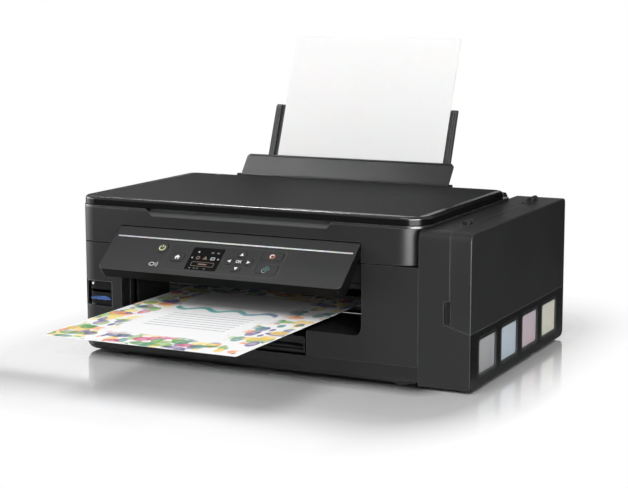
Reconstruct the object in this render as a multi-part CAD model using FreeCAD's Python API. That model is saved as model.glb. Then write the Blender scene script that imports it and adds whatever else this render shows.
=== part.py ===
"""All-in-one ink-tank printer, millimetres, +Z up, front towards -Y.

The origin is on the table, at the middle of the centre foot, under the case's middle.
Every function below makes one sub-part, in place; main() writes one STEP for each.
"""
import FreeCAD, Part
import math
import os

V = FreeCAD.Vector

# --- case ---------------------------------------------------------------------
LEFT, RIGHT = -224.5, 222.5    # over the case and the ink tank unit
SEAM_X = 167.5                 # main case ends, tank unit begins
FRONT, CASE_REAR, REAR = -152.0, 137.0, 152.0
FOOT_H = 2.5                   # rubber feet under the pan
PAN_TOP = 21.5                 # base pan to main case seam
DECK = 120.0                   # top of the main case
WALL = 2.5
CORNER_R = 18.0                # front left corner, seen from above
TOP_CORNER_R = 22.0            # front right corner of the scanner
REAR_CORNER_R = 10.0           # rear left corner
GAP = 0.6                      # gap between the main case and what stands on or beside it

# --- front opening ---------------------------------------------------------------
BAY_X0, BAY_X1 = -172.1, 106.9
BAY_FLOOR = 47.4
TRAY_BAY_X0, TRAY_BAY_X1 = -165.0, 46.2
BAY_CORNER_R = 8.0
RECESS_TOP = 141.2             # cut into the scanner's front for the control panel
RECESS_BACK = -130.0

# --- scanner and lid -------------------------------------------------------------
SCAN_Z0, SCAN_Z1 = DECK + GAP, 157.6
BEZEL_Z1 = 160.3
LID_Z0, LID_Z1 = 160.6, 169.0
TOP_X1 = 172.6                 # bezel and lid overhang the tank unit
SCAN_REAR, LID_REAR = 94.5, 86.2
GLASS_X0, GLASS_X1, GLASS_Y0, GLASS_Y1 = -172.0, 127.0, -135.0, 83.0   # clear window
SCAN_HINGE = (94.0, 153.8)     # Y, Z
LID_HINGE = (88.0, 165.4)
HINGE_X = (-199.0, 150.0)      # middle of each scanner hinge post
LID_HINGE_X = (-186.0, 136.0)

# --- control panel ----------------------------------------------------------------
PANEL_X0, PANEL_X1 = -170.8, 106.3
PANEL_LEN = 60.3
PANEL_TILT = 51.0              # from vertical, as it stands at rest
PANEL_AXIS = (-148.0, 138.4)   # Y, Z
PANEL_FACE = 4.0               # face in front of the axis
PANEL_HEAD = 1.9               # top edge below the axis

# --- paper ------------------------------------------------------------------------
A4_W, A4_L = 210.0, 297.0
LEAN = math.radians(20.9)      # loaded sheets lean back from vertical
STACK_FOOT = (70.05, 50.55)    # Y, Z of the loaded sheets' lower front edge
STACK_X0 = -128.0
STACK_T = 0.8
PRINT_X0, PRINT_Y0, PRINT_Z = -131.5, -355.5, 66.2
PRINT_T = 0.3

# --- print mechanism ----------------------------------------------------------------
RAIL = (12.0, 92.0)            # carriage rail, Y, Z
RAIL_R = 4.0
FRAME_Y = 30.0                 # front of the steel frame's back plate
FRAME_X0, FRAME_X1 = -203.0, 163.0
BELT_Y0, BELT_W = 20.5, 5.0
PULLEY_Z, PULLEY_R = 100.0, 6.4
PULLEY_X = (-190.0, 150.0)     # drive, idler
FEED = (22.0, 59.9)            # feed roller, Y, Z
EJECT = (-61.0, 59.9)          # output roller
ROLLER_R = 6.0
GEAR_MODULE = 0.8
FEED_TEETH, PINION_TEETH = 40, 12
GEAR_W = 5.0
PICKUP_R = 15.0

# --- tank unit ------------------------------------------------------------------------
TANK_X0 = SEAM_X + 0.5
TANK_TOP = 157.1
COVER_X = 200.8                # front edge seam of the cover
COVER_Z = 59.3                 # seam along the side
TANK_HINGE = (195.4, 158.4)    # X, Z
WINDOW_Y = (-105.0, -41.3, 22.4, 86.1)
WINDOW_W, WINDOW_H, WINDOW_Z0 = 45.9, 34.0, 15.0
TANK_PITCH = WINDOW_Y[1] - WINDOW_Y[0]
NECK_X, NECK_TOP = 208.0, 124.0


# --- helpers ----------------------------------------------------------------------------
def box(x0, x1, y0, y1, z0, z1):
    """Block between two corners."""
    return Part.makeBox(x1 - x0, y1 - y0, z1 - z0, V(x0, y0, z0))


def rod_x(y, z, r, x0, x1):
    """Cylinder along X."""
    return Part.makeCylinder(r, x1 - x0, V(x0, y, z), V(1, 0, 0))


def rod_y(x, z, r, y0, y1):
    """Cylinder along Y."""
    return Part.makeCylinder(r, y1 - y0, V(x, y0, z), V(0, 1, 0))


def rod_z(x, y, r, z0, z1):
    """Cylinder along Z."""
    return Part.makeCylinder(r, z1 - z0, V(x, y, z0), V(0, 0, 1))


def rounded_wire(corners, radii):
    """Closed wire through corners in order, each rounded to its radius."""
    n = len(corners)
    ends = []
    for i, corner in enumerate(corners):
        if radii[i] <= 0:
            ends.append((corner, corner, None))
            continue
        before = (corners[i - 1] - corner).normalize()
        after = (corners[(i + 1) % n] - corner).normalize()
        half = before.getAngle(after) / 2
        start = corner + before * (radii[i] / math.tan(half))
        end = corner + after * (radii[i] / math.tan(half))
        centre = corner + (before + after).normalize() * (radii[i] / math.sin(half))
        middle = centre + (corner - centre).normalize() * radii[i]
        ends.append((start, end, middle))
    edges = []
    for i, (start, end, middle) in enumerate(ends):
        if middle is not None:
            edges.append(Part.Arc(start, middle, end).toShape())
        following = ends[(i + 1) % n][0]
        if end.distanceToPoint(following) > 1e-6:
            edges.append(Part.makeLine(end, following))
    return Part.Wire(edges)


def slab(x0, x1, y0, y1, z0, z1, front_left=0, front_right=0, rear_right=0, rear_left=0):
    """Upright block with rounded vertical corners."""
    corners = [V(x0, y0, z0), V(x1, y0, z0), V(x1, y1, z0), V(x0, y1, z0)]
    wire = rounded_wire(corners, [front_left, front_right, rear_right, rear_left])
    return Part.Face(wire).extrude(V(0, 0, z1 - z0))


def along_x(profile, x0, x1, radii=None):
    """Profile of (Y, Z) points extruded from x0 to x1."""
    corners = [V(x0, y, z) for y, z in profile]
    wire = rounded_wire(corners, radii or [0] * len(corners))
    return Part.Face(wire).extrude(V(x1 - x0, 0, 0))


def along_y(profile, y0, y1, radii=None):
    """Profile of (X, Z) points extruded from y0 to y1."""
    corners = [V(x, y0, z) for x, z in profile]
    wire = rounded_wire(corners, radii or [0] * len(corners))
    return Part.Face(wire).extrude(V(0, y1 - y0, 0))


def union(*shapes):
    """One solid from touching shapes."""
    return shapes[0].fuse(list(shapes[1:])).removeSplitter() if len(shapes) > 1 else shapes[0]


def together(shapes):
    """Separate solids kept in one node."""
    return Part.makeCompound(list(shapes))


def rounded_edges(shape, radius, wanted):
    """Fillet the edges that the test picks."""
    return shape.makeFillet(radius, [edge for edge in shape.Edges if wanted(edge)])


def edge_in_plane(axis, value, tolerance=1e-4):
    """Test for edges that lie wholly in one plane square to an axis."""
    def test(edge):
        bounds = edge.BoundBox
        low, high = getattr(bounds, axis + "Min"), getattr(bounds, axis + "Max")
        return abs(low - value) < tolerance and abs(high - value) < tolerance
    return test


def on_stack(s, d):
    """(Y, Z) of a point s up the leaning sheets and d behind their front face."""
    y = STACK_FOOT[0] + s * math.sin(LEAN) + d * math.cos(LEAN)
    z = STACK_FOOT[1] + s * math.cos(LEAN) - d * math.sin(LEAN)
    return y, z


def leaning(profile, x0, x1):
    """Profile of (s, d) points beside the sheets, extruded along X."""
    return along_x([on_stack(s, d) for s, d in profile], x0, x1)


def leaning_plate(x0, x1, s0, s1, d0, d1):
    """Flat plate parallel to the loaded sheets."""
    return leaning([(s0, d0), (s1, d0), (s1, d1), (s0, d1)], x0, x1)


def spur_gear(teeth, axis_y, axis_z, x0, x1, phase=0.0):
    """Straight-sided spur gear about an X axis."""
    pitch_r = GEAR_MODULE * teeth / 2
    tip, root = pitch_r + 0.8 * GEAR_MODULE, pitch_r - 1.15 * GEAR_MODULE
    step = 2 * math.pi / teeth
    points = []
    for i in range(teeth):
        for radius, share in ((root, -0.30), (tip, -0.12), (tip, 0.12), (root, 0.30)):
            angle = phase + (i + share) * step
            points.append(V(x0, axis_y + radius * math.cos(angle), axis_z + radius * math.sin(angle)))
    return Part.Face(Part.makePolygon(points + points[:1])).extrude(V(x1 - x0, 0, 0))


# --- case -------------------------------------------------------------------------------
def case_outline(z0, z1, inset=0.0):
    """Main case seen from above, rounded at the left and square against the tank unit."""
    return slab(LEFT + inset, SEAM_X - inset, FRONT + inset, CASE_REAR - inset, z0, z1,
                CORNER_R - inset, 0, 0, REAR_CORNER_R - inset)


def base_pan():
    """Shallow bottom tray with rounded lower edges, ribs and a finger-wide inset in its front."""
    outer = rounded_edges(case_outline(FOOT_H, PAN_TOP), 9.0, edge_in_plane("Z", FOOT_H))
    pan = outer.cut(case_outline(FOOT_H + WALL, PAN_TOP + 1, WALL))
    pan = pan.cut(box(-191.9, -54.6, FRONT - 1, FRONT + 0.6, 5.5, PAN_TOP + 1))
    ribs = [box(x, x + 2, FRONT + WALL, CASE_REAR - WALL, FOOT_H + WALL, 12) for x in (-150, -50, 50, 120)]
    ribs += [box(LEFT + WALL, SEAM_X - WALL, y, y + 2, FOOT_H + WALL, 12) for y in (-100, 0, 90)]
    return union(pan, *ribs)


FEET = ((-190, -125), (-190, 112), (140, -125), (140, 112), (0, 0))
TANK_FOOT = (214, 50)


def rubber_feet():
    """Round feet under the pan's corners and middle, and a small one under the tank unit."""
    feet = [rod_z(x, y, 9, 0, FOOT_H) for x, y in FEET]
    return together(feet + [rod_z(*TANK_FOOT, 6, 0, FOOT_H)])


def bay_cut():
    """Space of the front opening and of the tray bay under it."""
    upper = along_y([(BAY_X0, BAY_FLOOR), (BAY_X1, BAY_FLOOR), (BAY_X1, 200), (BAY_X0, 200)],
                    FRONT - 5, RECESS_BACK, [BAY_CORNER_R, BAY_CORNER_R, 0, 0])
    lower = box(TRAY_BAY_X0, TRAY_BAY_X1, FRONT - 5, RECESS_BACK, PAN_TOP - 1, BAY_FLOOR + 1)
    return upper.fuse(lower)


CARD_X0, CARD_X1, CARD_Z0, CARD_Z1 = -221.2, -184.0, 50.0, 79.4


def main_case():
    """Middle shell: four walls and a top deck, with the front opening, ports and chute cut out."""
    shell = case_outline(PAN_TOP + 0.1, DECK).cut(case_outline(PAN_TOP - 1, DECK - WALL, WALL))
    deck_hole = slab(-192, 160, -118, 89.6, DECK - 5, DECK + 1, 12, 12, 4, 4)
    chute_hole = box(-156, 113, 80, CASE_REAR - WALL - 1, DECK - 5, DECK + 1)
    shell = shell.cut(deck_hole).cut(chute_hole).cut(bay_cut())
    on_front = edge_in_plane("Y", FRONT)
    shell = rounded_edges(shell, 0.6, lambda e: on_front(e) and e.BoundBox.XMin > BAY_X0 - 1
                          and e.BoundBox.XMax < BAY_X1 + 1 and PAN_TOP + 1 < e.BoundBox.ZMax < DECK - 1)
    shell = shell.cut(box(CARD_X0, CARD_X1, FRONT - 2, FRONT + 12, CARD_Z0, CARD_Z1))
    shell = shell.cut(box(-165.5, -152.5, CASE_REAR - 5, CASE_REAR + 1, 37.5, 49.5))
    shell = shell.cut(box(76, 104, CASE_REAR - 5, CASE_REAR + 1, 30, 50))
    shell = shell.cut(box(SEAM_X - 5, SEAM_X + 1, 40, 62, 100, 114))
    louvres = [box(x, x + 3, CASE_REAR - 5, CASE_REAR + 1, 60, 92) for x in range(-40, 30, 8)]
    shell = shell.cut(together(louvres))
    posts = [box(x - 4, x + 4, 92, 96, DECK - WALL, SCAN_HINGE[1] - 2.5) for x in HINGE_X]
    rings = [rod_x(*SCAN_HINGE, 3.4, x - 4, x + 4) for x in HINGE_X]
    bores = [rod_x(*SCAN_HINGE, 2.0, x - 5, x + 5) for x in HINGE_X]
    return union(shell, *posts, *rings).cut(together(bores))


def bay_lining():
    """Walls and floors behind the front opening, the crossbar, and the panel's two hinge arms."""
    y0, y1 = FRONT + WALL, -66.0
    thick = 2.2
    left = box(BAY_X0 - thick, BAY_X0, y0, RECESS_BACK, BAY_FLOOR, DECK - WALL - 0.2)
    left_step = slab(BAY_X0, BAY_X0 + 1.8, -137, RECESS_BACK, BAY_FLOOR, 92, 0, 1.2, 0, 0)
    left_low = box(TRAY_BAY_X0 - thick, TRAY_BAY_X0, y0, y1, PAN_TOP + 0.1, BAY_FLOOR)
    left_ledge = box(BAY_X0 - thick, TRAY_BAY_X0, y0, RECESS_BACK, BAY_FLOOR - thick, BAY_FLOOR)
    left_deep = box(TRAY_BAY_X0 - thick, TRAY_BAY_X0, RECESS_BACK, y1, BAY_FLOOR, 88)
    right = box(BAY_X1, BAY_X1 + thick, y0, y1, BAY_FLOOR - thick, DECK - WALL - 0.2)
    floor = box(TRAY_BAY_X1, BAY_X1 + thick, y0, y1, BAY_FLOOR - thick, BAY_FLOOR)
    right_low = box(TRAY_BAY_X1, TRAY_BAY_X1 + thick, y0, y1, PAN_TOP + 0.1, BAY_FLOOR)
    web = box(BAY_X0, BAY_X1, -135.4, -133.0, 92, DECK - 3)
    crossbar = along_x([(-136.4, 90.5), (-126, 90.5), (-126, 97.6), (-136.4, 97.6)],
                       BAY_X0, BAY_X1, [2, 0, 0, 2])
    end_slot = box(99.5, 102.5, -140, -134.5, 90, 98)
    y, z = PANEL_AXIS
    arms = []
    for x in (-120.0, 56.0):
        arm = along_x([(-135.4, 108), (-133.0, 108), (-133.0, 138.6), (y + 1, z + 2.3), (y - 1, z + 2.3),
                       (y - 1, z - 2.3), (-138, 133.0), (-135.4, 124)], x, x + 12)
        barrel = rod_x(y, z, 2.4, x, x + 12)
        arms.append(arm.fuse(barrel).cut(rod_x(y, z, 1.3, x - 1, x + 13)))
    return union(left, left_step, left_low, left_ledge, left_deep, right, floor, right_low, web,
                 crossbar.cut(end_slot), *arms)


def card_bezel():
    """Glossy insert in the left column with the card slots behind a shallow recess."""
    z0, z1 = CARD_Z0 + 0.2, CARD_Z1 - 0.2
    block = box(CARD_X0 + 0.2, CARD_X1 - 0.2, FRONT, FRONT + 11, z0, z1).common(case_outline(z0, z1, 0.6))
    block = block.fuse(box(-215.4, CARD_X1 - 0.2, FRONT + 11, -127, z0, z1)).removeSplitter()
    hollow = box(CARD_X0 + 2, CARD_X1 - 2, FRONT, FRONT + 10, CARD_Z0 + 2, CARD_Z1 - 2)
    hollow = hollow.cut(case_outline(CARD_Z0, CARD_Z1, 3.8))
    card_slot = box(-212.4, -187.1, FRONT, -126, 57.6, 60.8)
    long_slot = box(-213.0, -188.0, FRONT, -129, 65.6, 68.6)
    return block.cut(hollow).cut(card_slot).cut(long_slot)


def memory_card():
    """Card pushed into the lower slot, with its clipped corner and finger groove."""
    outline = [V(-211.8, -150.4, 58.2), V(-187.7, -150.4, 58.2), V(-187.7, -118.4, 58.2),
               V(-207.8, -118.4, 58.2), V(-211.8, -122.4, 58.2)]
    card = Part.Face(rounded_wire(outline, [1, 1, 1, 0, 0])).extrude(V(0, 0, 2.1))
    return card.cut(box(-206, -193, -149.2, -148.4, 59.9, 61))


# --- paper path --------------------------------------------------------------------------
PICKUP = on_stack(36, -PICKUP_R - 0.5)
GUARD_AXIS = (101.2, 167.0)
GUARD_X0, GUARD_X1 = -165.2, 97.6
MOUTH_X0, MOUTH_X1 = -151.0, 107.0
SUPPORT_X0, SUPPORT_X1 = -141.6, 88.8
SUPPORT_S0, SUPPORT_S1 = 78.0, 213.2
SUPPORT_STRIP = 7.0             # raised strip down each side of the back rest


def paper_chute():
    """Rear hopper: outer shell, sloping rest for the sheets, side cheeks and the guard's lugs."""
    outer = along_x([(98.8, DECK + 0.1), (CASE_REAR, DECK + 0.1), (REAR, 138), (REAR, 153), (146, 158.0),
                     (108, 164.0), (98.8, 164.4)], -207, 150, [0, 0, 3, 4, 3, 2, 1])
    inner = along_x([(101, DECK - 1), (CASE_REAR - WALL, DECK - 1), (REAR - 2.4, 138.6), (REAR - 2.4, 152),
                     (145, 155.8), (108, 161.6), (101, 162)], -204.6, 147.6)
    mouth = box(MOUTH_X0, MOUTH_X1, 101, 140, 150, 170)
    throat = box(MOUTH_X0, MOUTH_X1, 98, 101.1, DECK - 1, 136)
    shell = outer.cut(inner).cut(mouth).cut(throat)
    shell = shell.cut(box(HINGE_X[0] - 8.1, HINGE_X[0] + 9, 98, 98.9, 119, 170))
    rest = leaning_plate(MOUTH_X0 - 2, MOUTH_X1 + 2, 14, 119, 1.2, 3.6)
    for x0 in (SUPPORT_X0, SUPPORT_X1 - SUPPORT_STRIP):
        rest = rest.cut(leaning_plate(x0 - 0.5, x0 + SUPPORT_STRIP + 0.5, 84, 120, 1, 4))
    foot = leaning([(-3.2, -10), (-0.6, -10), (-0.6, 1.2), (14, 1.2), (14, 3.6), (-3.2, 3.6)], -130, 84)
    strips = [leaning_plate(x, x + 2.4, 14, 119, 3.6, 5.2) for x in (MOUTH_X0 + 2, MOUTH_X1 - 4.4)]
    cheek = [(99.5, 121), (99.5, 163), on_stack(119, 3.6), on_stack(60, 3.6), on_stack(60, -6)]
    arm = [on_stack(30, -21), on_stack(42, -21), on_stack(64, -6), on_stack(64, 3.6), on_stack(14, 3.6),
           on_stack(14, 1.2)]
    cheeks = [along_x(side, x, x + 2.2) for side in (cheek, arm) for x in (MOUTH_X0 - 2, MOUTH_X1 - 0.2)]
    lugs = []
    for x in (GUARD_X0 - 4.6, GUARD_X1 + 0.6):
        lug = along_x([(98.8, 162), (104, 162), (103.4, 168), (99.0, 168)], x, x + 4)
        lugs.append(lug.fuse(rod_x(*GUARD_AXIS, 2.3, x, x + 4)).cut(rod_x(*GUARD_AXIS, 1.25, x - 1, x + 5)))
    bearings = rod_x(*PICKUP, 3.06, MOUTH_X0 - 3, MOUTH_X1 + 3)
    return union(shell, rest, foot, *strips, *cheeks, *lugs).cut(bearings)


def feeder_guard():
    """Cover in front of the sheets' feed slot, leaning back on its hinge, with clipped corners."""
    y, z = GUARD_AXIS
    direction = V(0, 119.6 - y, 189.9 - z).normalize()
    across = V(0, -direction.z, direction.y)
    length = 29.6
    start = V(0, y, z) + across * 0.9
    corners = [(GUARD_X0, 0), (GUARD_X1, 0), (GUARD_X1, length - 3), (GUARD_X1 - 3, length),
               (GUARD_X0 + 3, length), (GUARD_X0, length - 3)]
    points = [start + V(x, 0, 0) + direction * up for x, up in corners]
    plate = Part.Face(Part.makePolygon(points + points[:1])).extrude(across * -1.9)
    lip_at = start + V(GUARD_X0 + 4, 0, 0) + direction * (length - 2.2)
    barrel = rod_x(y, z, 2.0, GUARD_X0, GUARD_X1)
    pins = [rod_x(y, z, 1.2, GUARD_X0 - 3.6, GUARD_X0), rod_x(y, z, 1.2, GUARD_X1, GUARD_X1 + 3.6)]
    rib_points = [lip_at, lip_at + direction * 1.4, lip_at + direction * 1.4 + across * 0.9, lip_at + across * 0.9]
    rib = Part.Face(Part.makePolygon(rib_points + rib_points[:1])).extrude(V(GUARD_X1 - GUARD_X0 - 8, 0, 0))
    return union(plate, barrel, *pins, rib)


def paper_support():
    """Pull-out back rest: a ribbed plate with a raised strip down each side."""
    d0, d1 = 5.6, 8.2
    plate = leaning_plate(SUPPORT_X0, SUPPORT_X1, SUPPORT_S0, SUPPORT_S1, d0, d1)
    strips = [leaning([(SUPPORT_S0 + 58, 2.4), (SUPPORT_S1 - 3, 2.4), (SUPPORT_S1, 4.4), (SUPPORT_S1, d0),
                       (SUPPORT_S0 + 58, d0)], x0, x1)
              for x0, x1 in ((SUPPORT_X0, SUPPORT_X0 + SUPPORT_STRIP), (SUPPORT_X1 - SUPPORT_STRIP, SUPPORT_X1))]
    ribs = [leaning_plate(x, x + 1.6, SUPPORT_S0, SUPPORT_S1 - 6, d1, d1 + 1.2) for x in (-118, -70, -24, 22, 70)]
    grooves = [leaning_plate(x, x + 1.1, SUPPORT_S0 + 57, SUPPORT_S1 - 4, 2.3, 3.6)
               for x in (SUPPORT_X1 - 5.4, SUPPORT_X1 - 2.6)]
    studs = [leaning_plate(SUPPORT_X0 + 2, SUPPORT_X0 + 5, s, s + 1.4, 1.9, 2.4) for s in (196, 200, 204)]
    return union(plate, *strips, *ribs, *studs).cut(together(grooves))


def edge_guide(side):
    """Side guide for the sheets; side is -1 at the left edge and 1 at the right."""
    edge = STACK_X0 - 0.5 if side < 0 else STACK_X0 + A4_W + 0.5
    out = edge + side * 2.0
    x0, x1 = min(edge, out), max(edge, out)
    flange = leaning([(84, 0.8), (112, 0.8), (112, -8), (104, -5), (92, -1.2), (84, -1.2)], x0, x1)
    flap = leaning_plate(min(edge, edge + side * 11), max(edge, edge + side * 11), 58, 106, -1.0, 0.8)
    return union(flange, flap)


def blank_sheet():
    """Small stack of A4 sheets standing in the rear feeder."""
    return leaning_plate(STACK_X0, STACK_X0 + A4_W, 0, A4_L, 0, STACK_T)


def printed_sheet():
    """A4 sheet on its way out of the front."""
    return box(PRINT_X0, PRINT_X0 + A4_W, PRINT_Y0, PRINT_Y0 + A4_L, PRINT_Z, PRINT_Z + PRINT_T)


TRAY_Y0, TRAY_Y1 = -148.0, 6.0
TRAY_X0, TRAY_X1 = TRAY_BAY_X0 + 3, TRAY_BAY_X1 - 3


def output_tray():
    """Sliding tray: floor, side rails and a front lip with a finger scoop."""
    floor = box(TRAY_X0, TRAY_X1, TRAY_Y0, TRAY_Y1, 23.0, 25.2)
    rails = [box(x, x + 2, TRAY_Y0, TRAY_Y1, 25.2, 33.0) for x in (TRAY_X0, TRAY_X1 - 2)]
    lip = along_y([(TRAY_X0, 23), (TRAY_X1, 23), (TRAY_X1, 40), (TRAY_X0, 40)], TRAY_Y0, TRAY_Y0 + 2.4,
                  [0, 0, 3, 3])
    scoop = slab(-95, -24, TRAY_Y0 - 1, TRAY_Y0 + 4, 36, 41)
    slot = box(TRAY_X0 + 2.5, TRAY_X1 - 2.5, TRAY_Y0 - 1, TRAY_Y0 + 3, 26.2, 33)
    ribs = [box(x, x + 1.6, TRAY_Y0 + 2.4, TRAY_Y1, 25.2, 26.4) for x in (-110, -60, -10)]
    return union(floor, *rails, lip, *ribs).cut(scoop).cut(slot)


def tray_extension():
    """Second stage that slides out over the tray's floor, with a turned-up paper stop."""
    x0, x1 = TRAY_X0 + 3.2, TRAY_X1 - 3.2
    plate = box(x0, x1, TRAY_Y0 + 3, TRAY_Y1 - 22, 26.8, 28.8)
    stop = box(-90, -30, TRAY_Y0 + 3, TRAY_Y0 + 5, 28.8, 32)
    window = slab(-80, -40, -110, -40, 26, 30, 6, 6, 6, 6)
    return union(plate, stop).cut(window)


# --- print mechanism ------------------------------------------------------------------------
def main_frame():
    """Bent steel chassis: back plate with a stiffening flange, and two side plates with bearings."""
    y = FRAME_Y
    thick = 1.6
    back = box(FRAME_X0, FRAME_X1, y, y + thick, 76, 115)
    flange = box(FRAME_X0, FRAME_X1, y, y + 9, 115, 115 + thick)
    sides = []
    for x in (FRAME_X0, FRAME_X1 - thick):
        side = along_x([(-69, 16), (50, 16), (50, 72), (y + thick, 78), (y + thick, 115), (4, 115), (-4, 80),
                        (-69, 72)], x, x + thick, [4, 4, 6, 0, 0, 4, 8, 4])
        sides.append(side)
    slots = [slab(x, x + 26, y - 1, y + 4, 84, 90) for x in (-150, -90, -30, 30, 90)]
    bores = [rod_x(*RAIL, RAIL_R, FRAME_X0 - 1, FRAME_X1 + 1)]
    bores += [rod_x(*axis, 3.06, FRAME_X0 - 1, FRAME_X1 + 1) for axis in (FEED, EJECT)]
    bores += [rod_x(*PINION, 1.6, FRAME_X0 - 1, FRAME_X0 + 3)]
    bores += [rod_y(x, PULLEY_Z, 2.0, y - 1, y + 3) for x in PULLEY_X]
    return union(back, flange, *sides).cut(together(slots + bores))


def carriage_rail():
    """Polished guide rod across the frame."""
    return rod_x(*RAIL, RAIL_R, FRAME_X0 - 1.5, FRAME_X1 + 1.0)


PARK_X0, PARK_X1 = 112.0, 158.0
CLIP_X0, CLIP_X1 = 118.0, 138.0


def carriage():
    """Open-topped ink head carriage with its rail boss and belt clip."""
    outer = along_x([(-34, 72), (10, 72), (10, 112), (-30, 112), (-34, 104)], PARK_X0, PARK_X1, [3, 1, 1, 2, 2])
    boss = rod_x(*RAIL, 7.0, PARK_X0, PARK_X1)
    lug = box(PARK_X0 + 4, PARK_X1 - 4, 8, 17, 96, 104)
    clip_web = box(CLIP_X0, CLIP_X1, 15, 19.6, 89.6, 97.0)
    lower_jaw = box(CLIP_X0, CLIP_X1, 19.6, 27, 89.6, 91.9)
    upper_jaw = box(CLIP_X0, CLIP_X1, 19.6, 27, 94.1, 97.0)
    hollow = box(PARK_X0 + 2, PARK_X1 - 2, -31.8, 4.6, 75, 113)
    window = box(120, 150, -28, 0, 71, 76)
    return union(outer, boss, lug, clip_web, lower_jaw, upper_jaw).cut(hollow).cut(window).cut(
        rod_x(*RAIL, RAIL_R + 0.06, PARK_X0 - 1, PARK_X1 + 1))


def print_head():
    """Head with its nozzle face under the carriage and four ink dampers above it."""
    stem = rounded_edges(box(120.2, 149.8, -27.8, -0.2, 67.5, 76), 1.0, edge_in_plane("Z", 67.5))
    flange = box(115, 155, -31, 4, 75.1, 78)
    dampers = [slab(x, x + 8.6, -30, 3, 78, 104, 1, 1, 1, 1) for x in (115.6, 125.6, 135.6, 145.6)]
    return union(stem, flange, *dampers)


def belt_pulley(x, flanged):
    """Belt pulley about a Y axis with its flanges and stub shaft."""
    hub = rod_y(x, PULLEY_Z, PULLEY_R, BELT_Y0 - 0.2, BELT_Y0 + BELT_W + 0.2)
    shape = hub
    if flanged:
        rims = [rod_y(x, PULLEY_Z, PULLEY_R + 1.0, y, y + 0.8) for y in (BELT_Y0 - 1.0, BELT_Y0 + BELT_W + 0.2)]
        shape = union(hub, *rims)
    return union(shape, rod_y(x, PULLEY_Z, 1.9, BELT_Y0 - 2, FRAME_Y + 3))


def drive_pulley():
    """Pulley on the carriage motor's shaft."""
    return belt_pulley(PULLEY_X[0], False)


def idler_pulley():
    """Free pulley at the other end of the belt."""
    return belt_pulley(PULLEY_X[1], True)


def timing_belt():
    """Flat loop round both pulleys."""
    def loop(radius, y0, y1):
        x0, x1 = PULLEY_X
        ends = [rod_y(x, PULLEY_Z, radius, y0, y1) for x in (x0, x1)]
        return union(box(x0, x1, y0, y1, PULLEY_Z - radius, PULLEY_Z + radius), *ends)
    y0, y1 = BELT_Y0, BELT_Y0 + BELT_W
    return loop(PULLEY_R + 1.25, y0, y1).cut(loop(PULLEY_R + 0.05, y0 - 1, y1 + 1))


def carriage_motor():
    """Can motor behind the frame, with its boss and terminals."""
    x = PULLEY_X[0]
    y0 = FRAME_Y + 1.6
    can = rounded_edges(rod_y(x, PULLEY_Z, 14, y0, y0 + 28), 1.5, edge_in_plane("Y", y0 + 28))
    hollow = rod_y(x, PULLEY_Z, 2.1, y0 - 1, y0 + 3)
    end = rod_y(x, PULLEY_Z, 5, y0 + 28, y0 + 30)
    return union(can, end).cut(hollow)


PINION = (FEED[0] + GEAR_MODULE * (FEED_TEETH + PINION_TEETH) / 2 * math.cos(math.radians(-30)),
          FEED[1] + GEAR_MODULE * (FEED_TEETH + PINION_TEETH) / 2 * math.sin(math.radians(-30)))
TRAIN_X0 = FRAME_X0 - 6.5


def feed_motor():
    """Motor on the left side plate; its shaft reaches the gear train outside the plate."""
    can = rod_x(*PINION, 13, FRAME_X0 + 1.6, FRAME_X0 + 29)
    can = rounded_edges(can, 1.5, edge_in_plane("X", FRAME_X0 + 29))
    return can.cut(rod_x(*PINION, 1.7, FRAME_X0, FRAME_X0 + 5))


def motor_pinion():
    """Small gear on the feed motor's shaft."""
    contact = math.radians(-30) + math.pi
    step = 2 * math.pi / PINION_TEETH
    gear = spur_gear(PINION_TEETH, *PINION, TRAIN_X0, TRAIN_X0 + GEAR_W, contact + step / 2)
    return union(gear, rod_x(*PINION, 1.5, TRAIN_X0, FRAME_X0 + 4.5))


def feed_roller():
    """Main feed shaft with its gritted roller and the large gear pressed on its left end."""
    shaft = rod_x(*FEED, 3.0, TRAIN_X0, FRAME_X1 + 1.5)
    grip = rod_x(*FEED, ROLLER_R, -140, 96)
    gear = spur_gear(FEED_TEETH, *FEED, TRAIN_X0, TRAIN_X0 + GEAR_W, math.radians(-30))
    holes = [rod_x(FEED[0] + 9.5 * math.cos(a), FEED[1] + 9.5 * math.sin(a), 2.6, TRAIN_X0 - 1, TRAIN_X0 + 6)
             for a in (0.4 + i * math.pi / 2 for i in range(4))]
    return union(shaft, grip, gear.cut(together(holes)))


def eject_roller():
    """Output shaft with spaced rubber rollers and its gear."""
    shaft = rod_x(*EJECT, 3.0, TRAIN_X0, FRAME_X1 + 1.5)
    rolls = [rod_x(*EJECT, ROLLER_R, x, x + 10) for x in (-122, -76, -30, 16, 62)]
    gear = spur_gear(FEED_TEETH, *EJECT, TRAIN_X0, TRAIN_X0 + GEAR_W)
    return union(shaft, gear, *rolls)


def star_wheel_bar():
    """Bar over the output roller that carries the thin toothed wheels."""
    y = EJECT[0]
    bar = along_x([(y - 4.5, 68.2), (y + 9, 68.2), (y + 9, 72.5), (y - 4.5, 72.5)], BAY_X0 + 44, -44,
                  [1, 1, 1.5, 1.5])
    slots = [box(x - 1, x + 1, y - 4, y + 5, 67, 71.2) for x in (-117, -71)]
    wheels = [rod_x(y + 0.5, 70.2, 3.4, x - 0.4, x + 0.4).fuse(rod_x(y + 0.5, 70.2, 0.8, x - 1.2, x + 1.2))
              for x in (-117, -71)]
    hangers = [box(x, x + 3, y + 8.5, -42, 68.2, 110) for x in (-127, -50)]
    beam = box(-127, -47, -44, -42, 104, 110)
    return union(bar.cut(together(slots)), *wheels, *hangers, beam)


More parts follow.
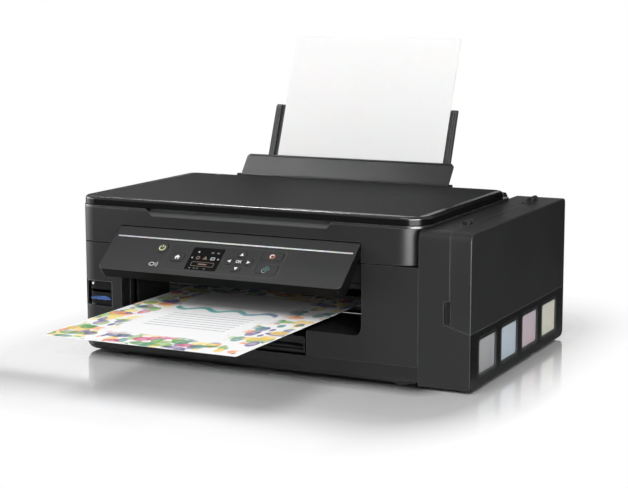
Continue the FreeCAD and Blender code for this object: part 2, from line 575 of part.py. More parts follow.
def pickup_roller():
    """Shaft with two D-shaped rubber rollers, flats towards the sheets."""
    shaft = rod_x(*PICKUP, 3.0, MOUTH_X0 - 3.0, MOUTH_X1 + 3.0)
    flat = leaning_plate(-200, 200, 10, 62, -3.6, 4)
    rolls = []
    for x in (-62, -6):
        core = rod_x(*PICKUP, PICKUP_R, x, x + 16).cut(flat)
        holes = [rod_x(PICKUP[0] + 8 * math.cos(a), PICKUP[1] + 8 * math.sin(a), 2.2, x - 1, x + 17)
                 for a in (2.0, 3.2, 4.4)]
        rolls.append(core.cut(together(holes)))
    return union(shaft, *rolls)


def platen():
    """Ribbed plate under the print zone."""
    plate = box(-140, 98, -48, 14.5, 50, 63)
    hollow = box(-137, 95, -45, 11.5, 49, 60.5)
    ribs = [box(x, x + 1.4, -46, 13, 63, 65.6) for x in range(-134, 96, 16)]
    return union(plate.cut(hollow), *ribs)


def cap_station():
    """Parking and cleaning unit under the parked head, with its sealing lip and wiper."""
    body = box(113, 157, -40, 14, 26, 61)
    lip = slab(118, 152, -31, 3, 61, 66.8, 3, 3, 3, 3).cut(slab(120.5, 149.5, -28.5, 0.5, 62.5, 68, 2, 2, 2, 2))
    wiper = box(114, 116, -26, -2, 61, 66.5)
    pump = rod_y(135, 42, 11, 14, 24)
    legs = [box(x, x + 3, -36, -2, FOOT_H + WALL, 26) for x in (115, 152)]
    return union(body, lip, wiper, pump, *legs)


def ink_tubes():
    """Four tubes from the tanks, side by side along the back of the frame to a clip."""
    tubes = []
    x_turn, z, radius, bend = 172.6, 107.0, 1.5, 2.6
    for i, tank_y in enumerate(WINDOW_Y):
        y = 44.0 + i * 4.6
        turn = 1 if tank_y > y else -1
        across = rod_x(y, z, radius, -30, x_turn - bend)
        section = Part.Face(Part.Wire([Part.makeCircle(radius, V(x_turn - bend, y, z), V(1, 0, 0))]))
        elbow = section.revolve(V(x_turn - bend, y + turn * bend, z), V(0, 0, turn), 90)
        outwards = rod_y(x_turn, z, radius, min(y + turn * bend, tank_y), max(y + turn * bend, tank_y))
        tubes.append(union(across, elbow, outwards))
    clip = box(-30, -18, 40, 62, 103.8, 110.2).cut(together(tubes))
    return together(tubes + [clip])


def main_board():
    """Printed circuit board with chips, a heat sink, connectors and the rear data socket."""
    y = 126.0
    board = box(-206, -70, y, y + 1.6, 27, 103)
    parts = [box(-190, -168, y - 2, y, 70, 92), box(-150, -136, y - 1.4, y, 60, 74),
             box(-128, -118, y - 8, y, 34, 60), box(-110, -84, y - 7, y, 90, 96),
             box(-110, -84, y - 7, y, 78, 84), box(-200, -176, y - 9, y, 34, 41)]
    parts += [rod_y(x, 40, 4, y - 12, y) for x in (-98, -87)]
    socket = box(-165, -153, y + 1.6, CASE_REAR - 0.4, 38, 49)
    socket = socket.cut(box(-163, -155, y + 4, CASE_REAR, 40, 47)).fuse(
        box(-161, -157, y + 4, CASE_REAR - 2, 42.4, 44.6))
    return union(board, *parts, socket)


def power_supply():
    """Boxed power unit with its vents and the two-pin mains inlet in the rear wall."""
    case = rounded_edges(box(10, 120, 96, 130, 14, 56), 2.0, edge_in_plane("Z", 56))
    vents = [box(x, x + 2.4, 95, 98, 24, 46) for x in range(22, 110, 8)]
    inlet = box(77, 103, 130, CASE_REAR - 0.3, 31, 49)
    well = along_y([(80.5, 34.5), (99.5, 34.5), (99.5, 45.5), (80.5, 45.5)], 132, CASE_REAR, [5.4, 5.4, 5.4, 5.4])
    pins = [rod_y(x, 40, 1.2, 131.5, CASE_REAR - 2) for x in (85.7, 94.3)]
    return union(case.cut(together(vents)), inlet.cut(well), *pins)


# --- control panel -----------------------------------------------------------------------------
FACE_Y = PANEL_AXIS[0] - PANEL_FACE
HEAD_Z = PANEL_AXIS[1] - PANEL_HEAD
LCD = (-71.4, -35.3, 22.0, 51.7)
KEYS = {                        # X, distance below the panel's top edge, width, height, corner
    "power_key": (-107.9, 26.4, 13.0, 13.0, 6.49),
    "home_key": (-85.4, 36.9, 15.0, 12.0, 3.0),
    "up_key": (-14.3, 26.7, 10.0, 7.6, 2.0),
    "down_key": (-14.3, 46.0, 10.0, 7.6, 2.0),
    "left_key": (-25.4, 36.6, 8.0, 9.0, 2.0),
    "right_key": (-3.2, 36.4, 8.0, 9.0, 2.0),
    "ok_key": (-14.3, 36.5, 9.6, 8.0, 2.0),
    "stop_key": (19.5, 26.4, 24.0, 10.6, 2.0),
    "start_key": (19.5, 43.0, 24.0, 12.0, 2.0),
}


def tilted(shape):
    """Turn a shape from the closed panel to the panel's place at rest."""
    shape.rotate(V(0, *PANEL_AXIS), V(1, 0, 0), -PANEL_TILT)
    return shape


def on_face(x0, x1, v0, v1, y0, y1, corner=0.0):
    """Rounded block on the closed panel's face; v is measured down from its top edge."""
    profile = [(x0, HEAD_Z - v1), (x1, HEAD_Z - v1), (x1, HEAD_Z - v0), (x0, HEAD_Z - v0)]
    return along_y(profile, y0, y1, [corner] * 4)


def panel_housing():
    """Wedge-section moulding with key pockets, hinge knuckles and pins."""
    profile = [(FACE_Y, HEAD_Z), (FACE_Y + 5.8, HEAD_Z), (FACE_Y + 11.6, HEAD_Z - 13.6),
               (FACE_Y + 14.4, HEAD_Z - 42), (FACE_Y + 14.6, HEAD_Z - PANEL_LEN), (FACE_Y, HEAD_Z - PANEL_LEN)]
    body = along_x(profile, PANEL_X0, PANEL_X1, [0, 2, 4, 6, 3, 0])
    outline = on_face(PANEL_X0, PANEL_X1, 0, PANEL_LEN, FACE_Y - 1, FACE_Y + 20)
    outline = rounded_edges(outline, 5.5, lambda e: abs(e.BoundBox.ZMax - HEAD_Z + PANEL_LEN) < 1e-4
                            and e.BoundBox.YLength > 10)
    body = rounded_edges(body.common(outline), 0.6, edge_in_plane("Y", FACE_Y))
    pockets = [on_face(LCD[0] - 0.1, LCD[1] + 0.1, LCD[2] - 0.1, LCD[3] + 0.1, FACE_Y - 1, FACE_Y + 1.5, 1.6),
               on_face(-167.2, 103.5, 12.9, 15.1, FACE_Y - 1, FACE_Y + 1.0)]
    for x, v, w, h, corner in KEYS.values():
        pockets.append(on_face(x - w / 2 - 0.35, x + w / 2 + 0.35, v - h / 2 - 0.35, v + h / 2 + 0.35,
                               FACE_Y - 1, FACE_Y + 4.2, corner + 0.3))
    arm_x = (-120.0, 56.0)
    pockets += [box(x - 0.6, x + 12.6, FACE_Y + 1.6, FACE_Y + 20, HEAD_Z - 12, HEAD_Z + 6) for x in arm_x]
    body = body.cut(together(pockets))
    knuckles = []
    for x in arm_x:
        knuckles += [rod_x(*PANEL_AXIS, 2.3, x0, x0 + 4) for x0 in (x - 4.6, x + 12.6)]
        knuckles.append(rod_x(*PANEL_AXIS, 1.2, x - 2, x + 14))
    return tilted(union(body, *knuckles))


def panel_trim():
    """Bright strip laid in a groove across the panel."""
    return tilted(on_face(-167.0, 103.3, 13.1, 14.9, FACE_Y - 0.15, FACE_Y + 0.9))


def lcd_window():
    """Display window, flush with the panel."""
    return tilted(on_face(*LCD, FACE_Y - 0.1, FACE_Y + 1.2, 1.5))


def key(name):
    """One key cap, standing a little proud of the face."""
    x, v, w, h, corner = KEYS[name]
    return tilted(on_face(x - w / 2, x + w / 2, v - h / 2, v + h / 2, FACE_Y - 0.25, FACE_Y + 2.8, corner))


# --- scanner -----------------------------------------------------------------------------------
def lid_pull():
    """Slanted finger scoop cut along the front, under the lid's edge."""
    trapezoid = along_y([(-133, 152.2), (68.5, 152.2), (76.5, 161), (-141, 161)], FRONT - 2, FRONT + 9)
    slope = along_x([(FRONT - 2, 151), (FRONT - 0.4, 152.0), (FRONT + 4.6, 157.4), (FRONT + 5.4, 161),
                     (FRONT - 2, 161)], -142, 77, [0, 0, 2, 0, 0])
    return trapezoid.common(slope)


def scanner_outline(z0, z1, x1, rear, inset=0.0):
    """Scanner seen from above: wide radii in front, small ones behind."""
    return slab(LEFT + inset, x1 - inset, FRONT + inset, rear - inset, z0, z1,
                CORNER_R - inset, TOP_CORNER_R - inset, 3 - inset, 8 - inset)


def scanner_housing():
    """Tub under the glass, stepped up in front for the control panel, with rear hinge pins."""
    outer = scanner_outline(SCAN_Z0, SCAN_Z1, SEAM_X, SCAN_REAR)
    outer = rounded_edges(outer, 1.0, edge_in_plane("Z", SCAN_Z0))
    tub = outer.cut(scanner_outline(SCAN_Z0 + WALL, SCAN_Z1 + 1, SEAM_X, SCAN_REAR, WALL))
    step = box(BAY_X0 - WALL, BAY_X1 + WALL, FRONT + 1, RECESS_BACK + WALL, SCAN_Z0, RECESS_TOP + WALL)
    recess = along_y([(BAY_X0, 100), (BAY_X1, 100), (BAY_X1, RECESS_TOP), (BAY_X0, RECESS_TOP)],
                     FRONT - 1, RECESS_BACK, [0, 0, 2, 2])
    pull_wall = box(-146, 82, FRONT + 1, FRONT + 8, 150, SCAN_Z1)
    tub = union(tub, step, pull_wall).cut(recess).cut(lid_pull())
    ribs = [box(x, x + 2, RECESS_BACK + WALL, SCAN_REAR - WALL, SCAN_Z0 + WALL, SCAN_Z0 + 5) for x in (-120, -30, 60)]
    pins = []
    for x in HINGE_X:
        walls = box(x - 8, x + 8, 83, SCAN_REAR, SCAN_Z0, SCAN_Z1)
        notch = box(x - 5, x + 5, 86, SCAN_REAR + 1, SCAN_Z0 - 1, SCAN_Z1 + 1)
        tub = tub.fuse(walls).cut(notch)
        pins.append(rod_x(*SCAN_HINGE, 1.9, x - 6, x + 6).common(box(x - 6, x + 6, 80, SCAN_REAR + 3, 150, 158)))
    return union(tub, *ribs, *pins)


def scanner_bezel():
    """Frame round the glass, with the lid's hinge posts at its rear edge."""
    plate = scanner_outline(SCAN_Z1, BEZEL_Z1, TOP_X1, SCAN_REAR)
    plate = rounded_edges(plate, 0.7, edge_in_plane("Z", BEZEL_Z1))
    window = slab(GLASS_X0, GLASS_X1, GLASS_Y0, GLASS_Y1, SCAN_Z1 - 1, BEZEL_Z1 + 1, 2, 2, 2, 2)
    plate = plate.cut(window).cut(lid_pull())
    posts = []
    for x in LID_HINGE_X:
        post = box(x - 4, x + 4, LID_HINGE[0] - 2.4, LID_HINGE[0] + 2.4, SCAN_Z1, LID_HINGE[1])
        post = post.fuse(rod_x(*LID_HINGE, 3.0, x - 4, x + 4))
        posts.append(post.cut(rod_x(*LID_HINGE, 1.6, x - 5, x + 5)))
    return union(plate, *posts)


def platen_glass():
    """Document glass, bonded under the frame."""
    return box(GLASS_X0 - 5, GLASS_X1 + 5, GLASS_Y0 - 5, GLASS_Y1 + 5, SCAN_Z1 - 3.0, SCAN_Z1)


SCAN_ROD = (-24.0, 131.0)


def scan_rod():
    """Guide rod for the scanning bar."""
    return rod_x(*SCAN_ROD, 3.0, LEFT + WALL, SEAM_X - WALL)


def scan_carriage():
    """Scanning bar across the glass: sensor trough, rod boss and end pads."""
    x0, x1 = -170.0, -146.0
    bar = box(x0, x1, -124, 78, 140, 152.6)
    trough = box(x0 + 5, x1 - 5, -120, 74, 145, 153.5)
    boss = along_x([(-36, 126), (-12, 126), (-8, 140), (-40, 140)], x0, x1).cut(
        rod_x(*SCAN_ROD, 3.06, x0 - 1, x1 + 1))
    pads = [box(x0 + 2, x1 - 2, y, y + 4, 152.6, 154.2) for y in (-124, 74)]
    return union(bar.cut(trough), boss, *pads)


def lid_shell():
    """Document lid: a thin shell with a rounded top edge and rear hinge knuckles."""
    outer = slab(LEFT, TOP_X1, FRONT, LID_REAR, LID_Z0, LID_Z1, 20, 24, 16, 9)
    outer = rounded_edges(outer, 3.0, edge_in_plane("Z", LID_Z1))
    inner = slab(LEFT + 3, TOP_X1 - 3, FRONT + 3, LID_REAR - 3, LID_Z0 - 1, LID_Z1 - 2.6, 17, 21, 13, 6)
    lid = outer.cut(inner)
    knuckles = []
    for x in LID_HINGE_X:
        lid = lid.cut(box(x - 4.5, x + 4.5, 79, LID_REAR + 1, LID_Z0 - 1, LID_Z1 + 1))
        knuckles += [rod_x(*LID_HINGE, 3.0, x0, x0 + 4).common(box(x0, x0 + 4, 80, 95, 160, LID_Z1 - 0.1))
                     for x0 in (x - 8.5, x + 4.5)]
        knuckles += [box(x0, x0 + 4, LID_REAR - 4, LID_HINGE[0], LID_HINGE[1] - 2.5, LID_Z1 - 1.5)
                     for x0 in (x - 8.5, x + 4.5)]
        knuckles.append(rod_x(*LID_HINGE, 1.5, x - 5, x + 5))
    return union(lid, *knuckles)


def document_mat():
    """White backing pad under the lid, standing just clear of the glass."""
    return slab(GLASS_X0 + 2, GLASS_X1 - 2, GLASS_Y0 + 2, GLASS_Y1 - 2, SCAN_Z1 + 0.4, LID_Z1 - 2.6, 3, 3, 3, 3)


# --- tank unit ---------------------------------------------------------------------------------
def tank_form(inset=0.0):
    """Outside of the tank unit with its rounded front top edge."""
    i = inset
    form = along_x([(FRONT + i, FOOT_H + i), (CASE_REAR - i, FOOT_H + i), (CASE_REAR - i, TANK_TOP - i),
                    (FRONT + i, TANK_TOP - i)], TANK_X0 + i, RIGHT - i, [4, 8, 5, 9.5 - i])
    if inset:
        return form
    return rounded_edges(form, 1.2, lambda e: abs(e.BoundBox.XMin - RIGHT) < 1e-4
                         and abs(e.BoundBox.XMax - RIGHT) < 1e-4)


def cover_zone(gap=0.0):
    """Space that belongs to the hinged cover, grown by the gap."""
    main = along_y([(COVER_X - gap, 65.4 - gap), (RIGHT, COVER_Z - gap), (RIGHT + 8, COVER_Z - gap),
                    (RIGHT + 8, 170), (COVER_X - gap, 170)], FRONT - 5, CASE_REAR + 5)
    top_strip = box(TANK_HINGE[0] + 1.6 - gap, COVER_X, -138 - gap, 124 + gap, TANK_TOP - 2.6, TANK_TOP + 1)
    return main.fuse(top_strip)


KNUCKLES = ((-94.0, -86.0), (100.0, 108.0))   # fixed middle knuckle of each cover hinge
KNUCKLE_L = 5.6                 # cover's knuckle at each side of it


def tank_case():
    """Tank unit's fixed shell: floor, left half, and the low side wall with four windows."""
    x, z = TANK_HINGE
    shell = tank_form().cut(tank_form(2.4)).cut(cover_zone(0.45))
    for y in WINDOW_Y:
        profile = [(y - WINDOW_W / 2, WINDOW_Z0), (y + WINDOW_W / 2, WINDOW_Z0),
                   (y + WINDOW_W / 2, WINDOW_Z0 + WINDOW_H), (y - WINDOW_W / 2, WINDOW_Z0 + WINDOW_H)]
        shell = shell.cut(along_x(profile, RIGHT - 5, RIGHT + 1, [3, 3, 3, 3]))
    pocket = box(191.5, 199.9, FRONT + 2, FRONT + 7, 64, 92)
    notch = along_y([(194.4, 66.2), (203, 66.2), (203, 89.9), (194.4, 89.9)], FRONT - 1, FRONT + 5.5, [3, 0, 0, 0.5])
    shell = shell.fuse(pocket).cut(notch).cut(box(TANK_X0 - 1, TANK_X0 + 4, 40, 62, 100, 114))
    rings = []
    for y0, y1 in KNUCKLES:
        shell = shell.cut(box(x - 3.8, x + 6, y0 - KNUCKLE_L - 0.8, y0, TANK_TOP - 4, TANK_TOP + 5))
        shell = shell.cut(box(x - 3.8, x + 6, y1, y1 + KNUCKLE_L + 0.8, TANK_TOP - 4, TANK_TOP + 5))
        rings.append(rod_y(x, z, 3.0, y0, y1).fuse(box(x - 3, x, y0, y1, TANK_TOP - 1, z)))
        rings.append(along_x([(y0 - 19, TANK_TOP - 1), (y0 - 10, TANK_TOP - 1), (y0 - 10, TANK_TOP + 1.6),
                              (y0 - 19, TANK_TOP + 1.2)], x - 4.5, x + 0.4, [0, 0, 0.8, 0.8]))
    bores = [rod_y(x, z, 1.5, y0 - 1, y1 + 1) for y0, y1 in KNUCKLES]
    return union(shell, *rings).cut(together(bores))


def tank_cover():
    """Hinged cover: top, side, front and rear walls in one moulding, with hinge knuckles and pins."""
    x, z = TANK_HINGE
    cover = tank_form().cut(tank_form(2.4)).common(cover_zone())
    cover = cover.cut(box(COVER_X - 1, 203.5, FRONT - 1, FRONT + 6, 60, 90.4).cut(
        box(201.4, 204, FRONT - 2, FRONT + 7, 59, 91)))
    knuckles = []
    for y0, y1 in KNUCKLES:
        cover = cover.cut(box(x, x + 3.6, y0 - 0.4, y1 + 0.4, TANK_TOP - 4, TANK_TOP + 5))
        for k0, k1 in ((y0 - KNUCKLE_L, y0 - 0.4), (y1 + 0.4, y1 + KNUCKLE_L)):
            barrel = rod_y(x, z, 3.0, k0, k1)
            knuckles.append(barrel.fuse(box(x, x + 3.2, k0, k1, TANK_TOP - 2.4, z)))
        knuckles.append(rod_y(x, z, 1.4, y0 - 1, y1 + 1))
    return union(cover, *knuckles)


def ink_tanks():
    """Four tanks: sight pane in the window, sloping shoulder and filler neck."""
    tanks = []
    for y in WINDOW_Y:
        half = TANK_PITCH / 2 - 3.0
        profile = [(176, FOOT_H + 2.4), (219.6, FOOT_H + 2.4), (219.6, 104), (212, 112), (176, 112)]
        body = along_y(profile, y - half, y + half, [3, 3, 3, 3, 3])
        w, z0, z1 = WINDOW_W / 2 - 0.2, WINDOW_Z0 + 0.2, WINDOW_Z0 + WINDOW_H - 0.2
        pane = along_x([(y - w, z0), (y + w, z0), (y + w, z1), (y - w, z1)], 218, RIGHT - 1.0, [2.8] * 4)
        neck = rod_z(NECK_X, y, 7.0, 100, NECK_TOP)
        nipple = rod_x(y, 107, 2.4, 174.3, 177)
        tanks.append(union(body, pane, neck, nipple).cut(rod_z(NECK_X, y, 4.3, 111, NECK_TOP + 1)))
    return together(tanks)


def tank_cap(index):
    """Ribbed stopper over one filler neck."""
    y = WINDOW_Y[index]
    cap = rod_z(NECK_X, y, 9.0, NECK_TOP - 6, NECK_TOP + 6.5)
    cap = rounded_edges(cap, 1.2, edge_in_plane("Z", NECK_TOP + 6.5))
    cap = cap.cut(rod_z(NECK_X, y, 7.4, NECK_TOP - 7, NECK_TOP + 0.3))
    grips = []
    for i in range(12):
        angle = i * math.pi / 6
        x, gy = NECK_X + 9.0 * math.cos(angle), y + 9.0 * math.sin(angle)
        grips.append(rod_z(x, gy, 0.7, NECK_TOP - 5, NECK_TOP + 4.5))
    plug = rod_z(NECK_X, y, 4.0, NECK_TOP - 10, NECK_TOP + 1)
    return union(cap, plug, *grips)


def main():
    """Build every sub-part and write it to parts/."""
    nodes = {
        "base_pan": base_pan(), "rubber_feet": rubber_feet(), "main_case": main_case(),
        "bay_lining": bay_lining(), "card_bezel": card_bezel(), "memory_card": memory_card(),
        "paper_chute": paper_chute(), "feeder_guard": feeder_guard(), "paper_support": paper_support(),
        "edge_guide_left": edge_guide(-1), "edge_guide_right": edge_guide(1),
        "blank_sheet": blank_sheet(), "printed_sheet": printed_sheet(),
        "output_tray": output_tray(), "tray_extension": tray_extension(),
        "main_frame": main_frame(), "carriage_rail": carriage_rail(), "carriage": carriage(),
        "print_head": print_head(), "drive_pulley": drive_pulley(), "idler_pulley": idler_pulley(),
        "timing_belt": timing_belt(), "carriage_motor": carriage_motor(), "feed_motor": feed_motor(),
        "motor_pinion": motor_pinion(), "feed_roller": feed_roller(), "eject_roller": eject_roller(),
        "star_wheel_bar": star_wheel_bar(), "pickup_roller": pickup_roller(), "platen": platen(),
        "cap_station": cap_station(), "ink_tubes": ink_tubes(), "main_board": main_board(),
        "power_supply": power_supply(), "panel_housing": panel_housing(), "panel_trim": panel_trim(),
        "lcd_window": lcd_window(), "scanner_housing": scanner_housing(), "scanner_bezel": scanner_bezel(),
        "platen_glass": platen_glass(), "scan_rod": scan_rod(), "scan_carriage": scan_carriage(),
        "lid_shell": lid_shell(), "document_mat": document_mat(), "tank_case": tank_case(),
        "tank_cover": tank_cover(), "ink_tanks": ink_tanks(),
    }
    nodes.update({name: key(name) for name in KEYS})
    for index, colour in enumerate(("black", "cyan", "magenta", "yellow")):
        nodes["tank_cap_" + colour] = tank_cap(index)
    os.makedirs("parts", exist_ok=True)
    for name, shape in nodes.items():
        shape.exportStep("parts/" + name + ".step")
        print(name, len(shape.Solids), shape.isValid(), round(shape.Volume / 1000, 2))
    print(len(nodes), "nodes")


main()
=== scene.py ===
"""Looks of the ink-tank printer: finishes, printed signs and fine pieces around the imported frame.

Lengths are metres, +Z up, the printer's front towards -Y.
"""
import math

import bmesh
import bpy
from mathutils import Matrix, Vector


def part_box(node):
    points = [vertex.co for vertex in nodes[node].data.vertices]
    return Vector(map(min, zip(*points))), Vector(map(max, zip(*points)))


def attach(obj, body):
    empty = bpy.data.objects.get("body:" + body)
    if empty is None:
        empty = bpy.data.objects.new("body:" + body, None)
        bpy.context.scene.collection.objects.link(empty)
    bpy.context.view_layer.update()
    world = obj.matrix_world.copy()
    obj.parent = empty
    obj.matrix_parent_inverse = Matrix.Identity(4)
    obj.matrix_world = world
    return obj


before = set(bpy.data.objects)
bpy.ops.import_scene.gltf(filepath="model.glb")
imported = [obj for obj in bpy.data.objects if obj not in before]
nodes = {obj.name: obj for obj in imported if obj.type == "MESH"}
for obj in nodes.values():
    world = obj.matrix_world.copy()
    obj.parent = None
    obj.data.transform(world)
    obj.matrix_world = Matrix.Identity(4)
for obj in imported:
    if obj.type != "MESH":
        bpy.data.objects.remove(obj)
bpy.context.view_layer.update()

MM = 0.001
scene = bpy.context.scene


# --- shader building ---
BEVEL_SAMPLES = 4


class Finish:
    """One material under construction: a principled shader and the nodes that feed it."""

    def __init__(self, name):
        self.material = bpy.data.materials.new(name)
        self.material.use_nodes = True
        self.tree = self.material.node_tree
        self.tree.nodes.clear()
        self.output = self.node("ShaderNodeOutputMaterial")
        self.shader = self.node("ShaderNodeBsdfPrincipled")
        self.link(self.shader.outputs["BSDF"], self.output.inputs["Surface"])
        self.place = self.node("ShaderNodeTexCoord").outputs["Object"]
        self.parts = None

    def node(self, kind, **settings):
        made = self.tree.nodes.new(kind)
        for key, value in settings.items():
            setattr(made, key, value)
        return made

    def link(self, source, target):
        self.tree.links.new(source, target)

    def feed(self, target, value):
        """Set a socket to a number or colour, or link another socket into it."""
        if isinstance(value, bpy.types.NodeSocket):
            self.link(value, target)
        else:
            target.default_value = value

    def give(self, node, **inputs):
        """Set or link a node's inputs, written with underscores for spaces."""
        for key, value in inputs.items():
            self.feed(node.inputs[key.replace("_", " ")], value)
        return node

    def set(self, **inputs):
        self.give(self.shader, **inputs)

    def math(self, operation, a, b=0.0):
        made = self.node("ShaderNodeMath", operation=operation)
        self.feed(made.inputs[0], a)
        self.feed(made.inputs[1], b)
        return made.outputs[0]

    def times(self, a, b):
        return self.math("MULTIPLY", a, b)

    def plus(self, a, b):
        return self.math("ADD", a, b)

    def minus(self, a, b):
        return self.math("SUBTRACT", a, b)

    def apart(self, value, middle):
        """How far a value is from a middle one, on either side of it."""
        return self.math("ABSOLUTE", self.minus(value, middle))

    def within(self, value, reach):
        """1 where a value is nearer to 0 than reach, and 0 beyond."""
        return self.math("LESS_THAN", self.math("ABSOLUTE", value), reach)

    def outside(self, value, low, high):
        """How far a value lies outside low..high, and 0 inside."""
        return self.math("MAXIMUM", self.minus(self.apart(value, (low + high) / 2), (high - low) / 2), 0.0)

    def length(self, a, b):
        return self.math("SQRT", self.plus(self.math("POWER", a, 2.0), self.math("POWER", b, 2.0)))

    def axis(self, name):
        """One coordinate of the point being shaded."""
        if self.parts is None:
            self.parts = self.node("ShaderNodeSeparateXYZ")
            self.link(self.place, self.parts.inputs[0])
        return self.parts.outputs[name]

    def from_edge(self, low, high):
        """How far the point lies in from the nearest side of a box, seen from above."""
        in_x = self.minus((high.x - low.x) / 2, self.apart(self.axis("X"), (low.x + high.x) / 2))
        in_y = self.minus((high.y - low.y) / 2, self.apart(self.axis("Y"), (low.y + high.y) / 2))
        return self.math("MINIMUM", in_x, in_y)

    def between(self, value, low, high, out_low=0.0, out_high=1.0):
        """Map a value from low..high to out_low..out_high, clamped."""
        made = self.node("ShaderNodeMapRange")
        for socket, number in zip(made.inputs[1:5], (low, high, out_low, out_high)):
            socket.default_value = number
        self.feed(made.inputs[0], value)
        return made.outputs[0]

    def fading(self, value, low, high, most=1.0):
        """The most up to low, falling to 0 at high."""
        return self.between(value, low, high, most, 0.0)

    def vary(self, noise, out_low=0.0, out_high=1.0):
        """Map the part of its range that a noise mostly takes to out_low..out_high."""
        return self.between(noise, 0.3, 0.7, out_low, out_high)

    def stretched(self, stretch):
        if stretch is None:
            return self.place
        return self.give(self.node("ShaderNodeMapping"), Vector=self.place, Scale=stretch).outputs["Vector"]

    def noise(self, scale, detail=2.0, stretch=None):
        """Noise of about 1/scale metres, stretched along axes if asked."""
        made = self.node("ShaderNodeTexNoise")
        return self.give(made, Vector=self.stretched(stretch), Scale=scale, Detail=detail).outputs["Fac"]

    def cells(self, scale, feature="F1", output="Distance", stretch=None):
        made = self.node("ShaderNodeTexVoronoi", feature=feature)
        return self.give(made, Vector=self.stretched(stretch), Scale=scale).outputs[output]

    def ramp(self, factor, stops, interpolation="LINEAR"):
        """Colour ramp through (position, colour) stops."""
        made = self.node("ShaderNodeValToRGB")
        made.color_ramp.interpolation = interpolation
        elements = made.color_ramp.elements
        while len(elements) < len(stops):
            elements.new(0.5)
        for element, (position, colour) in zip(elements, stops):
            element.position = position
            element.color = colour
        return self.give(made, Fac=factor).outputs["Color"]

    def mix(self, factor, a, b):
        """Colour a, turning into colour b as the factor goes from 0 to 1."""
        made = self.give(self.node("ShaderNodeMix", data_type="RGBA"), Factor=factor)
        self.feed(made.inputs[6], a)
        self.feed(made.inputs[7], b)
        return made.outputs[2]

    def blend(self, factor, a, b):
        """Shader a, turning into shader b as the factor goes from 0 to 1."""
        made = self.give(self.node("ShaderNodeMixShader"), Fac=factor)
        self.link(a, made.inputs[1])
        self.link(b, made.inputs[2])
        return made.outputs[0]

    def rounded(self, radius):
        """Normal bent across sharp edges, as if they had that radius."""
        return self.give(self.node("ShaderNodeBevel", samples=BEVEL_SAMPLES), Radius=radius).outputs[0]

    def highlight_edge_mask(self, radius):
        """1 along sharp edges, within a radius of them, and 0 on open faces."""
        face = self.node("ShaderNodeNewGeometry")
        turn = self.node("ShaderNodeVectorMath", operation="DOT_PRODUCT")
        self.link(self.rounded(radius), turn.inputs[0])
        self.link(face.outputs["Normal"], turn.inputs[1])
        return self.fading(turn.outputs["Value"], 0.93, 0.99)

    def relief(self, height, distance, strength=1.0, edge=0.0):
        """Last step: bump from a height, with sharp corners softened by an edge radius. Gives the material."""
        bump = self.give(self.node("ShaderNodeBump"), Height=height, Distance=distance, Strength=strength)
        if edge:
            self.give(bump, Normal=self.rounded(edge))
        self.set(Normal=bump.outputs[0])
        return self.material


def grey(level, tint=0.0):
    """Neutral colour, slightly cooler as tint grows."""
    return (level * (1 - tint), level, level * (1 + tint), 1.0)


def cool(level):
    """The faintly cool grey of the printer's plastics and metals."""
    return grey(level, 0.02)


def opaque(colour, share=1.0):
    """Shader colour from red, green and blue, each scaled by a share."""
    return tuple(min(1.0, channel * share) for channel in colour) + (1.0,)


# --- plastics ---
FLOW_SCALE = 9.0  # slow waves of tone in a moulding
BODY_GRAIN, FINE_GRAIN = 1500.0, 2200.0
SOFT_EDGE, FINE_EDGE = 0.0005, 0.0003
HIGHLIGHT_EDGE_WIDTH = 0.0009  # how far the painted edge highlight reaches in from an edge
SCOOP_X0, SCOOP_X1 = -142.0 * MM, 77.0 * MM
SCOOP_Z, SCOOP_DEPTH = 151.8 * MM, 5.4 * MM


def scoop_area(f):
    """Mask of the finger scoop cut along the scanner's front, under the lid, where a paler tone paints a
    highlight.
    """
    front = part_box("scanner_housing")[0].y
    depth = f.axis("Y")
    sloping = f.times(f.between(depth, front + 0.1 * MM, front + 0.6 * MM),
                      f.fading(depth, front + SCOOP_DEPTH, front + SCOOP_DEPTH + 0.1 * MM))
    above = f.between(f.axis("Z"), SCOOP_Z, SCOOP_Z + 0.3 * MM)
    along = f.fading(f.outside(f.axis("X"), SCOOP_X0, SCOOP_X1), 0.0, 0.5 * MM)
    return f.times(f.times(sloping, above), along)


def grained(f, flow, speck, dark, light, fleck, share=0.22):
    """Colour of a moulding: two close tones in slow waves, under a share of paler flecks."""
    tone = f.mix(f.vary(flow), cool(dark), cool(light))
    return f.mix(f.between(speck, 0.35, 0.65, 0.0, share), tone, cool(fleck))


def moulded(name, level, rough=0.42, grain=BODY_GRAIN, depth=0.00003, specular=0.14, edge_highlight_tone=0.0, scoop_highlight_tone=0.0):
    """Moulded plastic: fine grain and faint flow in colour and gloss, with painted highlights: paler along
    sharp edges and across the finger scoop.
    """
    f = Finish(name)
    flow, speck = f.noise(FLOW_SCALE, 3.0), f.noise(grain)
    colour = grained(f, flow, speck, level * 0.92, level * 1.08, level * 1.5)
    # painted highlight: a paler tone along sharp edges, where light catches them
    if edge_highlight_tone:
        colour = f.mix(f.highlight_edge_mask(HIGHLIGHT_EDGE_WIDTH), colour, cool(edge_highlight_tone))
    # painted highlight: a paler tone across the finger scoop under the lid
    if scoop_highlight_tone:
        colour = f.mix(scoop_area(f), colour, cool(scoop_highlight_tone))
    f.set(Base_Color=colour, Specular_IOR_Level=specular,
          Roughness=f.between(f.plus(flow, f.times(speck, 0.6)), 0.5, 1.1, rough - 0.05, rough + 0.06))
    return f.relief(speck, depth, edge=SOFT_EDGE)


